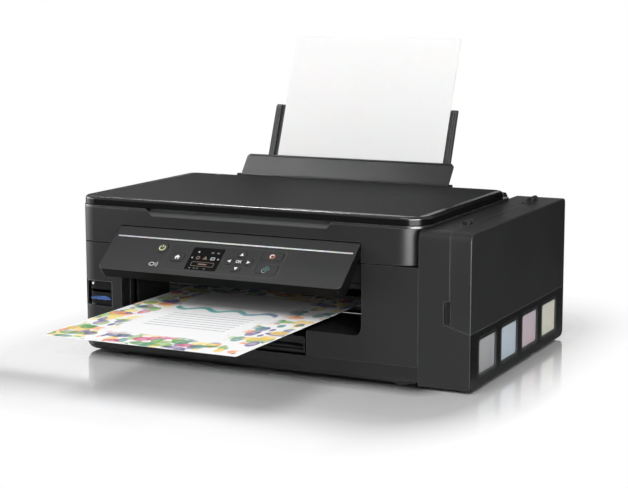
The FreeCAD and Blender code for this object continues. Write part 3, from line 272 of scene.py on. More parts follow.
def tank_moulding():
    """Ink tank case: satin like the body, with a painted highlight along sharp edges; the side round the tank
    windows is smoother and painted near-black as shade.
    """
    f = Finish("tank_moulding")
    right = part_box("tank_case")[1].x
    # painted shade: the side round the windows is coloured near-black, darker than the body
    side = f.between(f.axis("X"), right - 0.9 * MM, right - 0.5 * MM)
    speck = f.noise(BODY_GRAIN)
    body = grained(f, f.noise(FLOW_SCALE, 3.0), speck, 0.0100, 0.0118, 0.019)
    # painted highlight: a paler tone along sharp edges, over the body and the shaded side
    tone = f.mix(f.highlight_edge_mask(HIGHLIGHT_EDGE_WIDTH), f.mix(side, body, grey(0.0035, 0.08)), cool(0.11))
    f.set(Base_Color=tone, Specular_IOR_Level=f.between(side, 0.0, 1.0, 0.14, 0.06),
          Roughness=f.minus(f.vary(speck, 0.38, 0.48), f.times(side, 0.14)))
    return f.relief(speck, 0.00003, edge=SOFT_EDGE)


def polished(name, level, rough, specular):
    """Polished plastic with faint haze and rubbed streaks in its gloss."""
    f = Finish(name)
    haze = f.noise(28.0, 4.0)
    streak = f.noise(60.0, 3.0, stretch=(0.35, 6.0, 6.0))
    f.set(Base_Color=f.mix(haze, cool(level * 0.85), cool(level * 1.15)), Specular_IOR_Level=specular,
          Roughness=f.between(f.plus(haze, streak), 0.6, 1.4, rough - 0.04, rough + 0.08))
    return f.relief(f.noise(14.0), 0.00004, edge=0.0004)


PANEL_AXIS = Vector((0.0, -0.1480, 0.1384))
PANEL_TURN = Matrix.Rotation(math.radians(-51.0), 3, "X")
PANEL_FACE_Y, PANEL_HEAD_Z = -152.0, 136.5
PANEL_MIDDLE_X = -0.0322
POCKETS_V, POCKETS_HALF_U, POCKETS_HALF_V = 0.0320, 0.1320, 0.0250  # area of the face that holds the keys
POCKET_DEPTH = 0.0060


def panel_moulding():
    """Control panel: fine satin face with a paler line along its edge, a painted highlight, and sides and
    underside painted near-black as shade.
    """
    f = Finish("panel_moulding")
    out, down = PANEL_TURN @ Vector((0.0, -1.0, 0.0)), PANEL_TURN @ Vector((0.0, 0.0, -1.0))

    def reach(point, direction):
        """How far the shaded point lies from another along a direction square to X."""
        return f.plus(f.times(f.minus(f.axis("Y"), point.y), direction.y),
                      f.times(f.minus(f.axis("Z"), point.z), direction.z))

    height = reach(PANEL_AXIS + out * (-PANEL_FACE_Y * MM + PANEL_AXIS.y), out)
    pocket = f.times(f.within(f.minus(f.axis("X"), PANEL_MIDDLE_X), POCKETS_HALF_U),
                     f.within(f.minus(reach(PANEL_AXIS, down), POCKETS_V), POCKETS_HALF_V))
    # painted shade: all but the face and the key pockets is coloured near-black
    on_face = f.math("MAXIMUM", f.between(height, -0.00062, -0.00045),
                     f.times(pocket, f.math("GREATER_THAN", height, -POCKET_DEPTH)))
    # painted highlight: a paler line along the edge of the face
    rim = f.times(on_face, f.fading(height, -0.00030, -0.00008))
    speck = f.noise(FINE_GRAIN)
    face = grained(f, f.noise(FLOW_SCALE, 3.0), speck, 0.0190, 0.0215, 0.032, 0.2)
    face = f.mix(rim, face, grey(0.060, 0.01))
    f.set(Base_Color=f.mix(on_face, grey(0.0025), face), Roughness=f.vary(speck, 0.33, 0.42),
          Specular_IOR_Level=f.plus(f.times(on_face, 0.11), 0.04))
    return f.relief(speck, 0.00002, edge=FINE_EDGE)


LID_RIM = 8.5 * MM


def lid_grain():
    """Lid: pebbled top inside a polished rim band."""
    f = Finish("lid_pebbled")
    low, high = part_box("lid_shell")
    inside = f.between(f.from_edge(low, high), LID_RIM - 0.2 * MM, LID_RIM + 0.2 * MM)
    on_top = f.between(f.axis("Z"), high.z - 0.3 * MM, high.z - 0.1 * MM)
    pebbled = f.times(inside, on_top)
    pebble = f.cells(1050.0, "SMOOTH_F1")
    creases = f.noise(420.0, 3.0)
    height = f.times(f.plus(pebble, f.times(creases, 0.7)), pebbled)
    tone = f.mix(f.between(f.plus(pebble, creases), 0.5, 1.3), cool(0.008), cool(0.015))
    front_part = f.between(f.axis("Y"), low.y + 10.0 * MM, low.y + 24.0 * MM, 1.0, 0.15)
    rounded = f.times(f.between(f.axis("Z"), high.z - 3.0 * MM, high.z - 2.4 * MM),
                      f.times(f.minus(1.0, pebbled), front_part))
    f.set(Base_Color=f.mix(pebbled, cool(0.004), tone), Specular_IOR_Level=f.plus(f.times(rounded, 0.28), 0.05),
          Roughness=f.plus(f.times(pebbled, 0.40), f.vary(creases, 0.17, 0.23)))
    return f.relief(height, 0.00012, edge=SOFT_EDGE)


# --- papers ---
def plain_paper():
    """Uncoated paper: fibres, faint cockle, a little light passing through."""
    f = Finish("paper_blank")
    level = 0.91
    fibre = f.noise(1400.0, 3.0, stretch=(1.0, 0.4, 0.4))
    f.set(Base_Color=f.mix(f.vary(fibre), grey(level * 0.975), grey(level)), Roughness=f.vary(fibre, 0.78, 0.9),
          Specular_IOR_Level=0.25, Subsurface_Weight=0.15, Subsurface_Scale=0.0006)
    return f.relief(f.plus(f.times(fibre, 0.05), f.noise(7.0)), 0.0006, 0.5)


PETALS = ((0.85, 0.58, 0.06), (0.05, 0.27, 0.07), (0.01, 0.22, 0.20), (0.09, 0.03, 0.22), (0.60, 0.06, 0.18),
          (0.85, 0.25, 0.03), (0.22, 0.42, 0.05), (0.02, 0.03, 0.18), (0.90, 0.72, 0.22))
PETAL_LAYERS = ((95.0, (1.0, 0.5, 0.0), 0.56), (62.0, (0.55, 1.0, 0.0), 0.52), (44.0, (1.0, 1.0, 0.0), 0.42))
RIBBON_TONES = ((0.0, (0.02, 0.30, 0.30, 1.0)), (0.5, (0.05, 0.42, 0.38, 1.0)), (1.0, (0.03, 0.12, 0.34, 1.0)))
RIBBON_Y, RIBBON_HALF, RIBBON_SWING, RIBBON_WAVES = 0.022, 0.058, 0.006, 170.0
ROWS_Y, ROWS_HALF_X, ROWS_HALF_Y = -0.030, 0.046, 0.034
DOTS_PER_M, ROWS_PER_M = 420.0, 105.0
PRINT_DEPTH = 0.00015  # the design shows on the sheet's top face only


def printed_design():
    """Output sheet: a wreath of watercolour petals and leaves round white, with a ribbon and dotted rows."""
    f = Finish("paper_printed")
    low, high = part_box("printed_sheet")
    x, y = f.minus(f.axis("X"), (low.x + high.x) / 2), f.minus(f.axis("Y"), (low.y + high.y) / 2)
    wander = f.times(f.minus(f.noise(38.0), 0.5), 0.030)
    inward = f.plus(f.from_edge(low, high), wander)
    wreath = f.times(f.between(inward, 0.001, 0.004), f.fading(inward, 0.036, 0.044))
    wash = f.vary(f.noise(160.0, 3.0), 0.62, 1.0)
    stops = [(i / len(PETALS), opaque(tone)) for i, tone in enumerate(PETALS)]
    paper = grey(0.88)
    colour = paper
    for scale, stretch, size in PETAL_LAYERS:
        reach = f.cells(scale, "F1", "Distance", stretch)
        cell = f.node("ShaderNodeSeparateColor")
        f.link(f.cells(scale, "F1", "Color", stretch), cell.inputs[0])
        blot = f.times(f.fading(reach, size - 0.05, size), f.math("GREATER_THAN", cell.outputs[1], 0.16))
        shade = f.times(blot, f.times(wash, f.between(reach, 0.0, size, 0.80, 1.0)))
        colour = f.mix(f.times(shade, wreath), colour, f.ramp(cell.outputs[0], stops, "CONSTANT"))
    wave = f.times(f.math("SINE", f.times(x, RIBBON_WAVES)), RIBBON_SWING)
    drawn = f.times(f.within(x, RIBBON_HALF), f.fading(f.apart(f.minus(y, RIBBON_Y), wave), 0.0042, 0.0052))
    ribbon = f.ramp(f.between(x, -RIBBON_HALF, RIBBON_HALF), RIBBON_TONES)
    colour = f.mix(f.times(drawn, wash), colour, ribbon)
    column = f.minus(f.math("FRACT", f.times(x, DOTS_PER_M)), 0.5)
    row = f.minus(f.math("FRACT", f.times(y, ROWS_PER_M)), 0.5)
    from_dot = f.plus(f.math("POWER", f.times(column, 2.4), 2.0), f.math("POWER", f.times(row, 6.0), 2.0))
    rows = f.times(f.within(x, ROWS_HALF_X), f.within(f.plus(y, -ROWS_Y), ROWS_HALF_Y))
    dots = f.times(rows, f.fading(from_dot, 0.4, 0.9))
    ink = f.mix(f.noise(30.0), (0.02, 0.22, 0.22, 1.0), (0.12, 0.04, 0.16, 1.0))
    colour = f.mix(f.times(dots, 0.85), colour, ink)
    printed = f.between(f.axis("Z"), high.z - PRINT_DEPTH, high.z - 0.0001)
    f.set(Base_Color=f.mix(printed, paper, colour), Specular_IOR_Level=0.25,
          Roughness=f.vary(f.noise(1400.0, 3.0), 0.72, 0.86))
    return f.relief(f.noise(7.0), 0.0006, 0.5)


# --- metals, rubber, glass and small parts ---
def plated_steel(name, level, brushed=(1.0, 14.0, 14.0)):
    """Zinc-plated or ground steel with fine drawn lines."""
    f = Finish(name)
    lines = f.noise(320.0, 3.0, stretch=brushed)
    spangle = f.cells(130.0, "F1", "Color")
    f.set(Base_Color=f.mix(0.08, f.mix(lines, cool(level * 0.85), cool(level * 1.1)), spangle), Metallic=1.0,
          Roughness=f.vary(lines, 0.22, 0.38))
    return f.relief(lines, 0.00002, edge=FINE_EDGE)


def soft_rubber(name, level):
    """Rubber or coated roller: dusty matt with coarse grit."""
    f = Finish(name)
    grit = f.noise(FINE_GRAIN)
    dust = f.noise(60.0, 3.0)
    f.set(Base_Color=f.mix(f.between(dust, 0.35, 0.75), grey(level), grey(level * 1.5 + 0.012)),
          Roughness=f.vary(grit, 0.62, 0.8))
    return f.relief(grit, 0.00006, edge=FINE_EDGE)


def coloured_plastic(name, colour, rough, coat=0.0):
    """Mass-coloured moulded plastic with a faint cloud in its tone."""
    f = Finish(name)
    cloud = f.noise(40.0, 3.0)
    grain = f.noise(1300.0)
    f.set(Base_Color=f.mix(cloud, opaque(colour, 0.82), opaque(colour)),
          Roughness=f.vary(grain, rough - 0.05, rough + 0.07), Coat_Weight=coat)
    return f.relief(grain, 0.00002, edge=FINE_EDGE)


BOARD_FACE_Y, PART_FACE_Y = 0.1255, 0.1278  # where the laminate ends, and the parts that stand on it


def printed_circuit():
    """Laminate with tracks and pads, dark parts standing on it."""
    f = Finish("circuit_laminate")
    tracks = f.cells(260.0, "DISTANCE_TO_EDGE", "Distance", stretch=(1.0, 1.0, 2.2))
    line = f.between(tracks, 0.04, 0.07)
    board = f.mix(line, (0.10, 0.30, 0.13, 1), (0.015, 0.11, 0.05, 1))
    raised = f.between(f.axis("Y"), BOARD_FACE_Y, BOARD_FACE_Y + 0.0003)
    shell = f.between(f.axis("Y"), PART_FACE_Y, PART_FACE_Y + 0.0002)
    part = f.mix(f.between(f.noise(90.0), 0.48, 0.52), grey(0.03), (0.42, 0.42, 0.44, 1))
    f.set(Base_Color=f.mix(shell, f.mix(raised, part, board), grey(0.030)),
          Roughness=f.between(tracks, 0.0, 0.2, 0.25, 0.45), Coat_Weight=0.3)
    return f.relief(tracks, 0.00008, 0.5)


def clear_glass():
    """Float glass with a green body tint and faint wipe marks."""
    f = Finish("float_glass")
    smear = f.noise(18.0, 4.0, stretch=(1.0, 3.0, 1.0))
    f.set(Base_Color=f.mix(smear, (0.86, 0.93, 0.91, 1), (0.92, 0.97, 0.96, 1)),
          Roughness=f.between(smear, 0.4, 0.8, 0.01, 0.06), Transmission_Weight=0.9, IOR=1.5)
    return f.relief(smear, 0.00001, 0.3)


def foam_film():
    """White film over foam: soft sheen and a faint orange-peel face."""
    f = Finish("mat_film")
    peel = f.noise(700.0)
    f.set(Base_Color=f.mix(peel, grey(0.74), grey(0.82)), Roughness=f.vary(peel, 0.5, 0.62), Sheen_Weight=0.1)
    return f.relief(peel, 0.00006, edge=0.0008)


# Colour of each ink's cap, and of its tank behind the window, from front to rear.
INKS = {"black": ((0.022, 0.022, 0.024), (0.207, 0.216, 0.226)),
        "cyan": ((0.02, 0.32, 0.58), (0.392, 0.469, 0.545)),
        "magenta": ((0.52, 0.03, 0.22), (0.488, 0.378, 0.427)),
        "yellow": ((0.72, 0.55, 0.02), (0.67, 0.643, 0.536))}
TANK_Y = [(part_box("tank_cap_" + ink)[0].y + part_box("tank_cap_" + ink)[1].y) / 2 for ink in INKS]
PITCH = TANK_Y[1] - TANK_Y[0]


def frosted_tank():
    """Translucent tank wall over ink: one pale tone for each tank, frosted and shaded towards its top."""
    f = Finish("frosted_tank")
    start = TANK_Y[0] - PITCH / 2
    along = f.between(f.axis("Y"), start, start + 4 * PITCH)
    tone = f.ramp(along, [(i / 4, opaque(pane)) for i, (_, pane) in enumerate(INKS.values())], "CONSTANT")
    cloud = f.noise(55.0, 3.0, stretch=(1.0, 1.0, 0.4))
    frost = f.noise(2600.0)
    rise = f.between(f.plus(f.axis("Z"), f.times(cloud, 0.008)), 0.020, 0.056)
    pale = f.mix(f.times(rise, 0.30), tone, grey(0.72, 0.01))
    f.set(Base_Color=f.mix(f.vary(cloud, 0.0, 0.12), pale, grey(0.6)), Roughness=f.vary(frost, 0.34, 0.5),
          Subsurface_Weight=0.25, Subsurface_Scale=0.002, Coat_Weight=0.15)
    return f.relief(frost, 0.00004, edge=0.0006)


# --- stage ---
VIEW_PLACE = (0.7699, -1.6013, 0.3973)
VIEW_TURNS = (("Z", 26.241), ("X", 80.818), ("Z", -0.108))
VIEW_LENS, VIEW_SENSOR = 94.4, 36.0
FLOOR_HALF, FLOOR_ROUGH = 6.0, 0.06


def place_camera():
    """Camera at the printer's front right, a little above it, with a long lens."""
    data = bpy.data.cameras.new("view")
    data.sensor_width, data.lens = VIEW_SENSOR, VIEW_LENS
    camera = bpy.data.objects.new("view", data)
    scene.collection.objects.link(camera)
    place = Matrix.Translation(VIEW_PLACE)
    for axis, degrees in VIEW_TURNS:
        place = place @ Matrix.Rotation(math.radians(degrees), 4, axis)
    camera.matrix_world = place
    scene.camera = camera


def level_corners(x0, y0, x1, y1, z):
    return [(x0, y0, z), (x1, y0, z), (x1, y1, z), (x0, y1, z)]


def flat_sheet(name, corners, material):
    """Linked object of a single four-cornered face."""
    mesh = bpy.data.meshes.new(name)
    mesh.from_pydata(corners, [], [(0, 1, 2, 3)])
    mesh.materials.append(material)
    sheet = bpy.data.objects.new(name, mesh)
    scene.collection.objects.link(sheet)
    return sheet


def make_floor():
    """Pale floor: mirror-like where the printer meets it, then matt, then lost in the white surround."""
    f = Finish("studio_floor")
    low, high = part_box("base_pan")
    beside = f.outside(f.axis("X"), low.x, high.x)
    before = f.outside(f.axis("Y"), low.y, high.y)
    near, away = f.length(beside, before), f.length(f.times(beside, 1.9), before)
    f.set(Base_Color=f.mix(f.noise(3.0), grey(0.94), grey(0.96)), Roughness=FLOOR_ROUGH, Specular_IOR_Level=0.3)
    mirror = f.give(f.node("ShaderNodeBsdfGlossy"), Roughness=FLOOR_ROUGH)
    white = f.give(f.node("ShaderNodeEmission"), Strength=1.0)
    rays = f.node("ShaderNodeLightPath")
    seen = f.math("MAXIMUM", rays.outputs["Is Camera Ray"], rays.outputs["Is Glossy Ray"])
    contact = f.times(f.math("POWER", f.fading(near, 0.0, 0.065), 1.6), 0.9)
    glossy = f.math("MAXIMUM", contact, f.fading(near, 0.10, 0.20, 0.32))
    surface = f.blend(glossy, f.shader.outputs[0], mirror.outputs[0])
    fade = f.times(f.between(away, 0.13, 0.25), seen)
    f.link(f.blend(fade, surface, white.outputs[0]), f.output.inputs["Surface"])
    corners = level_corners(-FLOOR_HALF, -FLOOR_HALF, FLOOR_HALF, FLOOR_HALF, 0.0)
    floor = flat_sheet("floor", corners, f.material)


SURROUND_LEVEL = 0.6  # how much the surround lights matt surfaces


def light_world():
    """Even grey light for shading, white wherever it is looked at directly."""
    world = bpy.data.worlds.new("surround")
    world.use_nodes = True
    tree = world.node_tree
    background = tree.nodes["Background"]
    rays = tree.nodes.new("ShaderNodeLightPath")
    level = tree.nodes.new("ShaderNodeMapRange")
    tree.links.new(rays.outputs["Is Diffuse Ray"], level.inputs[0])
    level.inputs["To Min"].default_value = 1.0
    level.inputs["To Max"].default_value = SURROUND_LEVEL
    tree.links.new(level.outputs[0], background.inputs["Strength"])
    background.inputs["Color"].default_value = (1.0, 1.0, 1.0, 1.0)
    scene.world = world


def add_lamp(name, at, aim, size, power, spread=180.0, sheen_only=True):
    """Soft rectangular lamp at a point, turned towards another; sheen_only lights gloss but not matt."""
    data = bpy.data.lights.new(name, "AREA")
    data.shape = "RECTANGLE"
    data.size, data.size_y = size
    data.energy = power
    data.spread = math.radians(spread)
    lamp = bpy.data.objects.new(name, data)
    lamp.location = at
    lamp.rotation_euler = (Vector(aim) - Vector(at)).to_track_quat("-Z", "Y").to_euler()
    lamp.visible_camera = False
    lamp.visible_diffuse = not sheen_only
    scene.collection.objects.link(lamp)


def add_flag(name, corners, level):
    """Dark card that only reflections see, and only from the side it faces."""
    f = Finish(name)
    card = f.give(f.node("ShaderNodeEmission"), Color=grey(level))
    clear = f.node("ShaderNodeBsdfTransparent")
    side = f.node("ShaderNodeNewGeometry")
    f.link(f.blend(side.outputs["Backfacing"], card.outputs[0], clear.outputs[0]), f.output.inputs["Surface"])
    flag = flat_sheet(name, corners, f.material)
    for ray in ("camera", "diffuse", "transmission", "shadow", "volume_scatter"):
        setattr(flag, "visible_" + ray, False)


def floor_flag(name, x0, y0, x1, y1, level):
    """Flag lying just above the floor, seen from above."""
    add_flag(name, level_corners(x0, y0, x1, y1, 0.0015), level)


def wall_flag(name, start, end, z0, z1, level):
    """Upright flag from one floor point to another, seen from its right-hand side."""
    add_flag(name, [(*start, z0), (*end, z0), (*end, z1), (*start, z1)], level)


scene.view_settings.view_transform = "Standard"
place_camera()
make_floor()
light_world()
add_lamp("key_front", (-0.1, -1.5, 2.3), (0, 0, 0.1), (1.3, 1.3), 34, sheen_only=False)
add_lamp("strip_left", (-1.9, -0.2, 0.5), (-0.2, -0.1, 0.1), (0.3, 1.2), 5, sheen_only=False)
add_lamp("sheen_left", (-0.98, -0.42, 0.22), (-0.2, -0.13, 0.12), (0.9, 0.6), 13)
add_lamp("sheen_corner", (0.714, -0.699, 0.22), (0.155, -0.14, 0.12), (0.76, 0.5), 54)
add_lamp("sheen_edge", (-0.80, 0.62, 1.29), (-0.16, -0.13, 0.17), (0.3, 0.5), 0.32, 14.0)
add_lamp("sheen_scoop", (-0.68, -0.30, 1.48), (-0.02, -0.15, 0.145), (0.3, 0.3), 0.012, 12.0)
add_lamp("sheen_guard", (-0.85, -0.46, 1.53), (-0.17, 0.11, 0.19), (0.3, 0.3), 0.20, 12.0)
floor_flag("flag_right_rear", 0.24, 0.62, 1.3, 1.6, 0.0)
floor_flag("flag_right", 0.24, -0.10, 1.3, 0.62, 0.12)
wall_flag("flag_right_wall", (0.217, 0.99), (0.592, 0.803), 0.0, 0.5, 0.0)
wall_flag("flag_rear", (-1.0, 0.55), (0.3, 0.55), 0.24, 0.62, 0.02)

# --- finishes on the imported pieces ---
FINISHES = {
    moulded("case_moulding", 0.0108, edge_highlight_tone=0.05): ["main_case"],
    moulded("housing_moulding", 0.0112, edge_highlight_tone=0.11, scoop_highlight_tone=0.075): ["scanner_housing"],
    moulded("cover_moulding", 0.0112, edge_highlight_tone=0.11): ["tank_cover"],
    tank_moulding(): ["tank_case"],
    moulded("pan_moulding", 0.008, rough=0.45, specular=0.12): ["base_pan"],
    moulded("inner_moulding", 0.006, rough=0.55, grain=900.0, specular=0.1): [
        "bay_lining", "paper_chute", "output_tray", "tray_extension", "star_wheel_bar", "platen", "cap_station",
        "scan_carriage", "power_supply", "edge_guide_left", "edge_guide_right"],
    moulded("support_moulding", 0.04, rough=0.4, specular=0.3): ["paper_support"],
    moulded("guard_moulding", 0.014, rough=0.38): ["feeder_guard"],
    panel_moulding(): ["panel_housing"],
    moulded("key_moulding", 0.020, rough=0.36, grain=FINE_GRAIN, depth=0.00002, specular=0.15): [
        n for n in nodes if n.endswith("_key")],
    moulded("carriage_moulding", 0.030, rough=0.45, specular=0.5): ["carriage", "print_head"],
    polished("bezel_polish", 0.012, 0.26, 0.35): ["scanner_bezel"],
    polished("slot_polish", 0.004, 0.14, 0.15): ["card_bezel"],
    polished("display_polish", 0.002, 0.10, 0.05): ["lcd_window"],
    lid_grain(): ["lid_shell"],
    plated_steel("strip_satin", 0.42, (0.5, 20.0, 20.0)): ["panel_trim"],
    plated_steel("frame_zinc", 0.50): ["main_frame"],
    plated_steel("ground_steel", 0.66, (1.0, 30.0, 30.0)): ["carriage_rail", "scan_rod"],
    plated_steel("motor_can", 0.48): ["carriage_motor", "feed_motor"],
    soft_rubber("foot_rubber", 0.025): ["rubber_feet"],
    soft_rubber("belt_rubber", 0.018): ["timing_belt"],
    soft_rubber("roller_coat", 0.06): ["feed_roller", "pickup_roller"],
    soft_rubber("eject_coat", 0.010): ["eject_roller"],
    coloured_plastic("gear_acetal", (0.74, 0.73, 0.69), 0.45): ["motor_pinion", "drive_pulley", "idler_pulley"],
    coloured_plastic("card_blue", (0.01, 0.06, 0.26), 0.35): ["memory_card"],
    coloured_plastic("tube_clear", (0.42, 0.43, 0.45), 0.25, 0.4): ["ink_tubes"],
    **{coloured_plastic("cap_" + ink, cap, 0.5): ["tank_cap_" + ink] for ink, (cap, _) in INKS.items()},
    frosted_tank(): ["ink_tanks"],
    printed_circuit(): ["main_board"],
    clear_glass(): ["platen_glass"],
    foam_film(): ["document_mat"],
    plain_paper(): ["blank_sheet"],
    printed_design(): ["printed_sheet"],
}
for material, names in FINISHES.items():
    for name in names:
        mesh = nodes[name].data
        mesh.materials.clear()
        mesh.materials.append(material)

# --- fine pieces: places and solids ---
# Sizes below are in millimetres, which the placing functions turn into metres.
KEY_RISE, LCD_RISE = 0.25, 0.10
FRONT_Y, REAR_Y, SIDE_X = -152.0, 137.0, 222.5


def on_panel(x, v, height):
    """Point over the panel's face, v down from its top edge, at the panel's place at rest."""
    closed = Vector((x, PANEL_FACE_Y - height, PANEL_HEAD_Z - v)) * MM
    return PANEL_AXIS + PANEL_TURN @ (closed - PANEL_AXIS)


def on_plane(axis, level, sign):
    """Placing function for a plane square to an axis, facing along sign."""
    def place(a, b, height):
        at = level + sign * height
        corner = {"X": (at, a, b), "Y": (a, at, b), "Z": (a, b, at)}[axis]
        return Vector(corner) * MM
    return place


def disc(u, v, radius_u, radius_v=None, steps=28, start=0.0, sweep=360.0):
    """Outline of an ellipse, or of an arc of one."""
    radius_v = radius_v or radius_u
    count = steps if sweep >= 360 else steps + 1
    angles = [math.radians(start + sweep * i / steps) for i in range(count)]
    return [(u + radius_u * math.cos(angle), v + radius_v * math.sin(angle)) for angle in angles]


def arc_band(u, v, outer, inner, start, sweep, steps=20):
    """Outline of a bent stroke."""
    there = disc(u, v, outer, outer, steps, start, sweep)
    return there + disc(u, v, inner, inner, steps, start, sweep)[::-1]


def round_rect(u0, v0, u1, v1, radius, steps=5):
    """Outline of a rectangle with rounded corners."""
    points = []
    for cu, cv, start in ((u1 - radius, v1 - radius, 0), (u0 + radius, v1 - radius, 90),
                          (u0 + radius, v0 + radius, 180), (u1 - radius, v0 + radius, 270)):
        points += disc(cu, cv, radius, radius, steps, start, 90.0)
    return points


def stroke(u0, v0, u1, v1, width):
    """Outline of a straight bar between two points."""
    along = Vector((u1 - u0, v1 - v0)).normalized() * (width / 2)
    side = Vector((-along.y, along.x))
    return [(u0 - side.x, v0 - side.y), (u1 - side.x, v1 - side.y), (u1 + side.x, v1 + side.y),
            (u0 + side.x, v0 + side.y)]


def plain_mesh(name, mesh):
    """Finished mesh from a bmesh, with its faces turned outwards."""
    bmesh.ops.recalc_face_normals(mesh, faces=mesh.faces)
    data = bpy.data.meshes.new(name)
    mesh.to_mesh(data)
    mesh.free()
    return data


def register(name, data, body):
    """Link a finished mesh as a piece on a body."""
    piece = bpy.data.objects.new(name, data)
    scene.collection.objects.link(piece)
    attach(piece, body)


class Piece:
    """Mesh of closed flat solids laid on a surface by a placing function, from a low to a high level."""

    def __init__(self, place, low, high):
        self.mesh = bmesh.new()
        self.place, self.low, self.high = place, low, high

    def loop(self, outline, height):
        return [self.mesh.verts.new(self.place(u, v, height)) for u, v in outline]

    def walls(self, first, second):
        for i in range(len(first)):
            j = (i + 1) % len(first)
            self.mesh.faces.new((first[i], first[j], second[j], second[i]))

    def solid(self, outline):
        bottom, top = self.loop(outline, self.low), self.loop(outline, self.high)
        self.mesh.faces.new(top)
        self.mesh.faces.new(bottom[::-1])
        self.walls(bottom, top)
        return self

    def ring(self, outer, inner):
        """Closed frame between two outlines with the same number of points."""
        loops = [self.loop(outer, self.low), self.loop(outer, self.high), self.loop(inner, self.high),
                 self.loop(inner, self.low)]
        for i in range(4):
            self.walls(loops[i], loops[(i + 1) % 4])
        return self

    def border(self, u0, v0, u1, v1, width, radius, inner_radius, refine=list):
        """Rectangular ring of a width, with its outer and inner corner radius."""
        inner = round_rect(u0 + width, v0 + width, u1 - width, v1 - width, inner_radius)
        return self.ring(refine(round_rect(u0, v0, u1, v1, radius)), refine(inner))

    def levels(self, low, high):
        """Put what is added next between other levels."""
        self.low, self.high = low, high
        return self

    def make(self, name, material, body, slot="trim_silver"):
        data = plain_mesh(name, self.mesh)
        data.materials.append(material)
        register(name, data, body)


# --- finishes for the fine pieces ---
def lit_print(name, colour, glow, base=None):
    """Translucent printed sign lit from behind, a little uneven across its area."""
    f = Finish(name)
    patch = f.noise(700.0)
    f.set(Base_Color=base or opaque(colour, 0.6), Roughness=0.4, Emission_Color=opaque(colour),
          Emission_Strength=f.vary(patch, glow * 0.8, glow * 1.15))
    return f.material


def screen_print(name, colour, rough=0.5):
    """Ink printed on plastic, thin at its edges."""
    f = Finish(name)
    cover = f.noise(1800.0)
    f.set(Base_Color=f.mix(cover, opaque(colour, 0.85), opaque(colour, 1.12)),
          Roughness=f.vary(cover, rough - 0.05, rough + 0.08))
    return f.relief(cover, 0.00001)


WHITE_PRINT = screen_print("sign_white", (0.80, 0.80, 0.78))
DIM_PRINT = screen_print("sign_dim", (0.28, 0.29, 0.28))
LINE_PRINT = screen_print("zone_line", (0.006, 0.006, 0.007), 0.4)
RED_PRINT = screen_print("sign_red", (0.30, 0.075, 0.045))
TEAL_PRINT = screen_print("sign_teal", (0.035, 0.16, 0.15))
MARK_PRINT = screen_print("support_mark_ink", (0.012, 0.012, 0.012))
STRIP_PRINT = screen_print("strip_white", (0.78, 0.78, 0.76))
POWER_LIGHT = lit_print("power_light", (0.78, 0.80, 0.42), 0.55)
POWER_DIAL = screen_print("power_dial", (0.012, 0.013, 0.007), 0.35)
STATUS_LIGHT = lit_print("status_light", (0.55, 0.55, 0.56), 0.35)
DISPLAY_WHITE = lit_print("display_white", (0.80, 0.82, 0.82), 0.5, grey(0.02))
DISPLAY_WARM = lit_print("display_warm", (0.30, 0.15, 0.07), 0.42, grey(0.02))
DISPLAY_DIM = lit_print("display_dim", (0.16, 0.16, 0.17), 0.4, grey(0.02))
SLOT_LIGHT = lit_print("slot_light", (0.95, 0.92, 0.80), 1.0)
# glowing strip along the inserted card: a painted highlight for light caught on its edge, not a light
CARD_HIGHLIGHT = lit_print("card_glow", (0.04, 0.11, 0.30), 0.9)
# pale tone of the rims round the sight panes and the card bay: a painted highlight
RIM_HIGHLIGHT = moulded("window_rim", 0.10, rough=0.3, specular=0.3)
SCREW_STEEL = plated_steel("screw_zinc", 0.42)
GOLD_PLATE = plated_steel("contact_gold", 0.60)
DARK_VENT = moulded("vent_moulding", 0.004, rough=0.6, specular=0.1)


# --- signs on the control panel ---
def key_sign(over=0.04):
    """Sign set into a key's top, and standing over it by a little."""
    return Piece(on_panel, KEY_RISE - 0.08, KEY_RISE + over)


def power_sign(u, v):
    key_sign().solid(disc(u, v, 5.2)).make("power_dial", POWER_DIAL, "power_key", "gloss_black")
    sign = key_sign(0.09).solid(arc_band(u, v, 3.5, 2.85, -52, 284)).solid(stroke(u, v - 0.9, u, v - 3.9, 0.65))
    sign.make("power_sign", POWER_LIGHT, "power_key")


def status_sign(u, v):
    sign = Piece(on_panel, -0.08, 0.05)
    sign.ring(disc(u, v, 3.4, 2.5), disc(u, v, 2.4, 1.6))
    for reach in (5.2, 7.0):
        sign.solid(arc_band(u, v, reach, reach - 0.6, -28, 56, 8))
    sign.make("status_sign", STATUS_LIGHT, "panel")


HOUSE = ((-3.3, 0.1), (0, -2.9), (3.3, 0.1), (2.2, 0.1), (2.2, 2.6), (0.7, 2.6), (0.7, 0.6), (-0.7, 0.6),
         (-0.7, 2.6), (-2.2, 2.6), (-2.2, 0.1))


def home_sign(u, v):
    key_sign().solid([(u + du, v + dv) for du, dv in HOUSE]).make("home_sign", WHITE_PRINT, "home_key")


def arrow_sign(name, u, v, du, dv):
    """Solid triangle pointing along (du, dv)."""
    tip, side = 1.9, 2.0
    outline = [(u + du * tip, v + dv * tip), (u - du * tip - dv * side, v - dv * tip + du * side),
               (u - du * tip + dv * side, v - dv * tip - du * side)]
    key_sign().solid(outline).make(name + "_sign", WHITE_PRINT, name + "_key")


def ok_sign(u, v):
    sign = key_sign().ring(disc(u - 1.7, v, 1.55, 1.9), disc(u - 1.7, v, 0.95, 1.3))
    sign.solid(stroke(u + 0.7, v - 1.9, u + 0.7, v + 1.9, 0.6))
    sign.solid(stroke(u + 1.1, v + 0.1, u + 2.9, v - 1.8, 0.6))
    sign.solid(stroke(u + 1.3, v - 0.2, u + 3.0, v + 1.8, 0.6))
    sign.make("ok_sign", WHITE_PRINT, "ok_key")


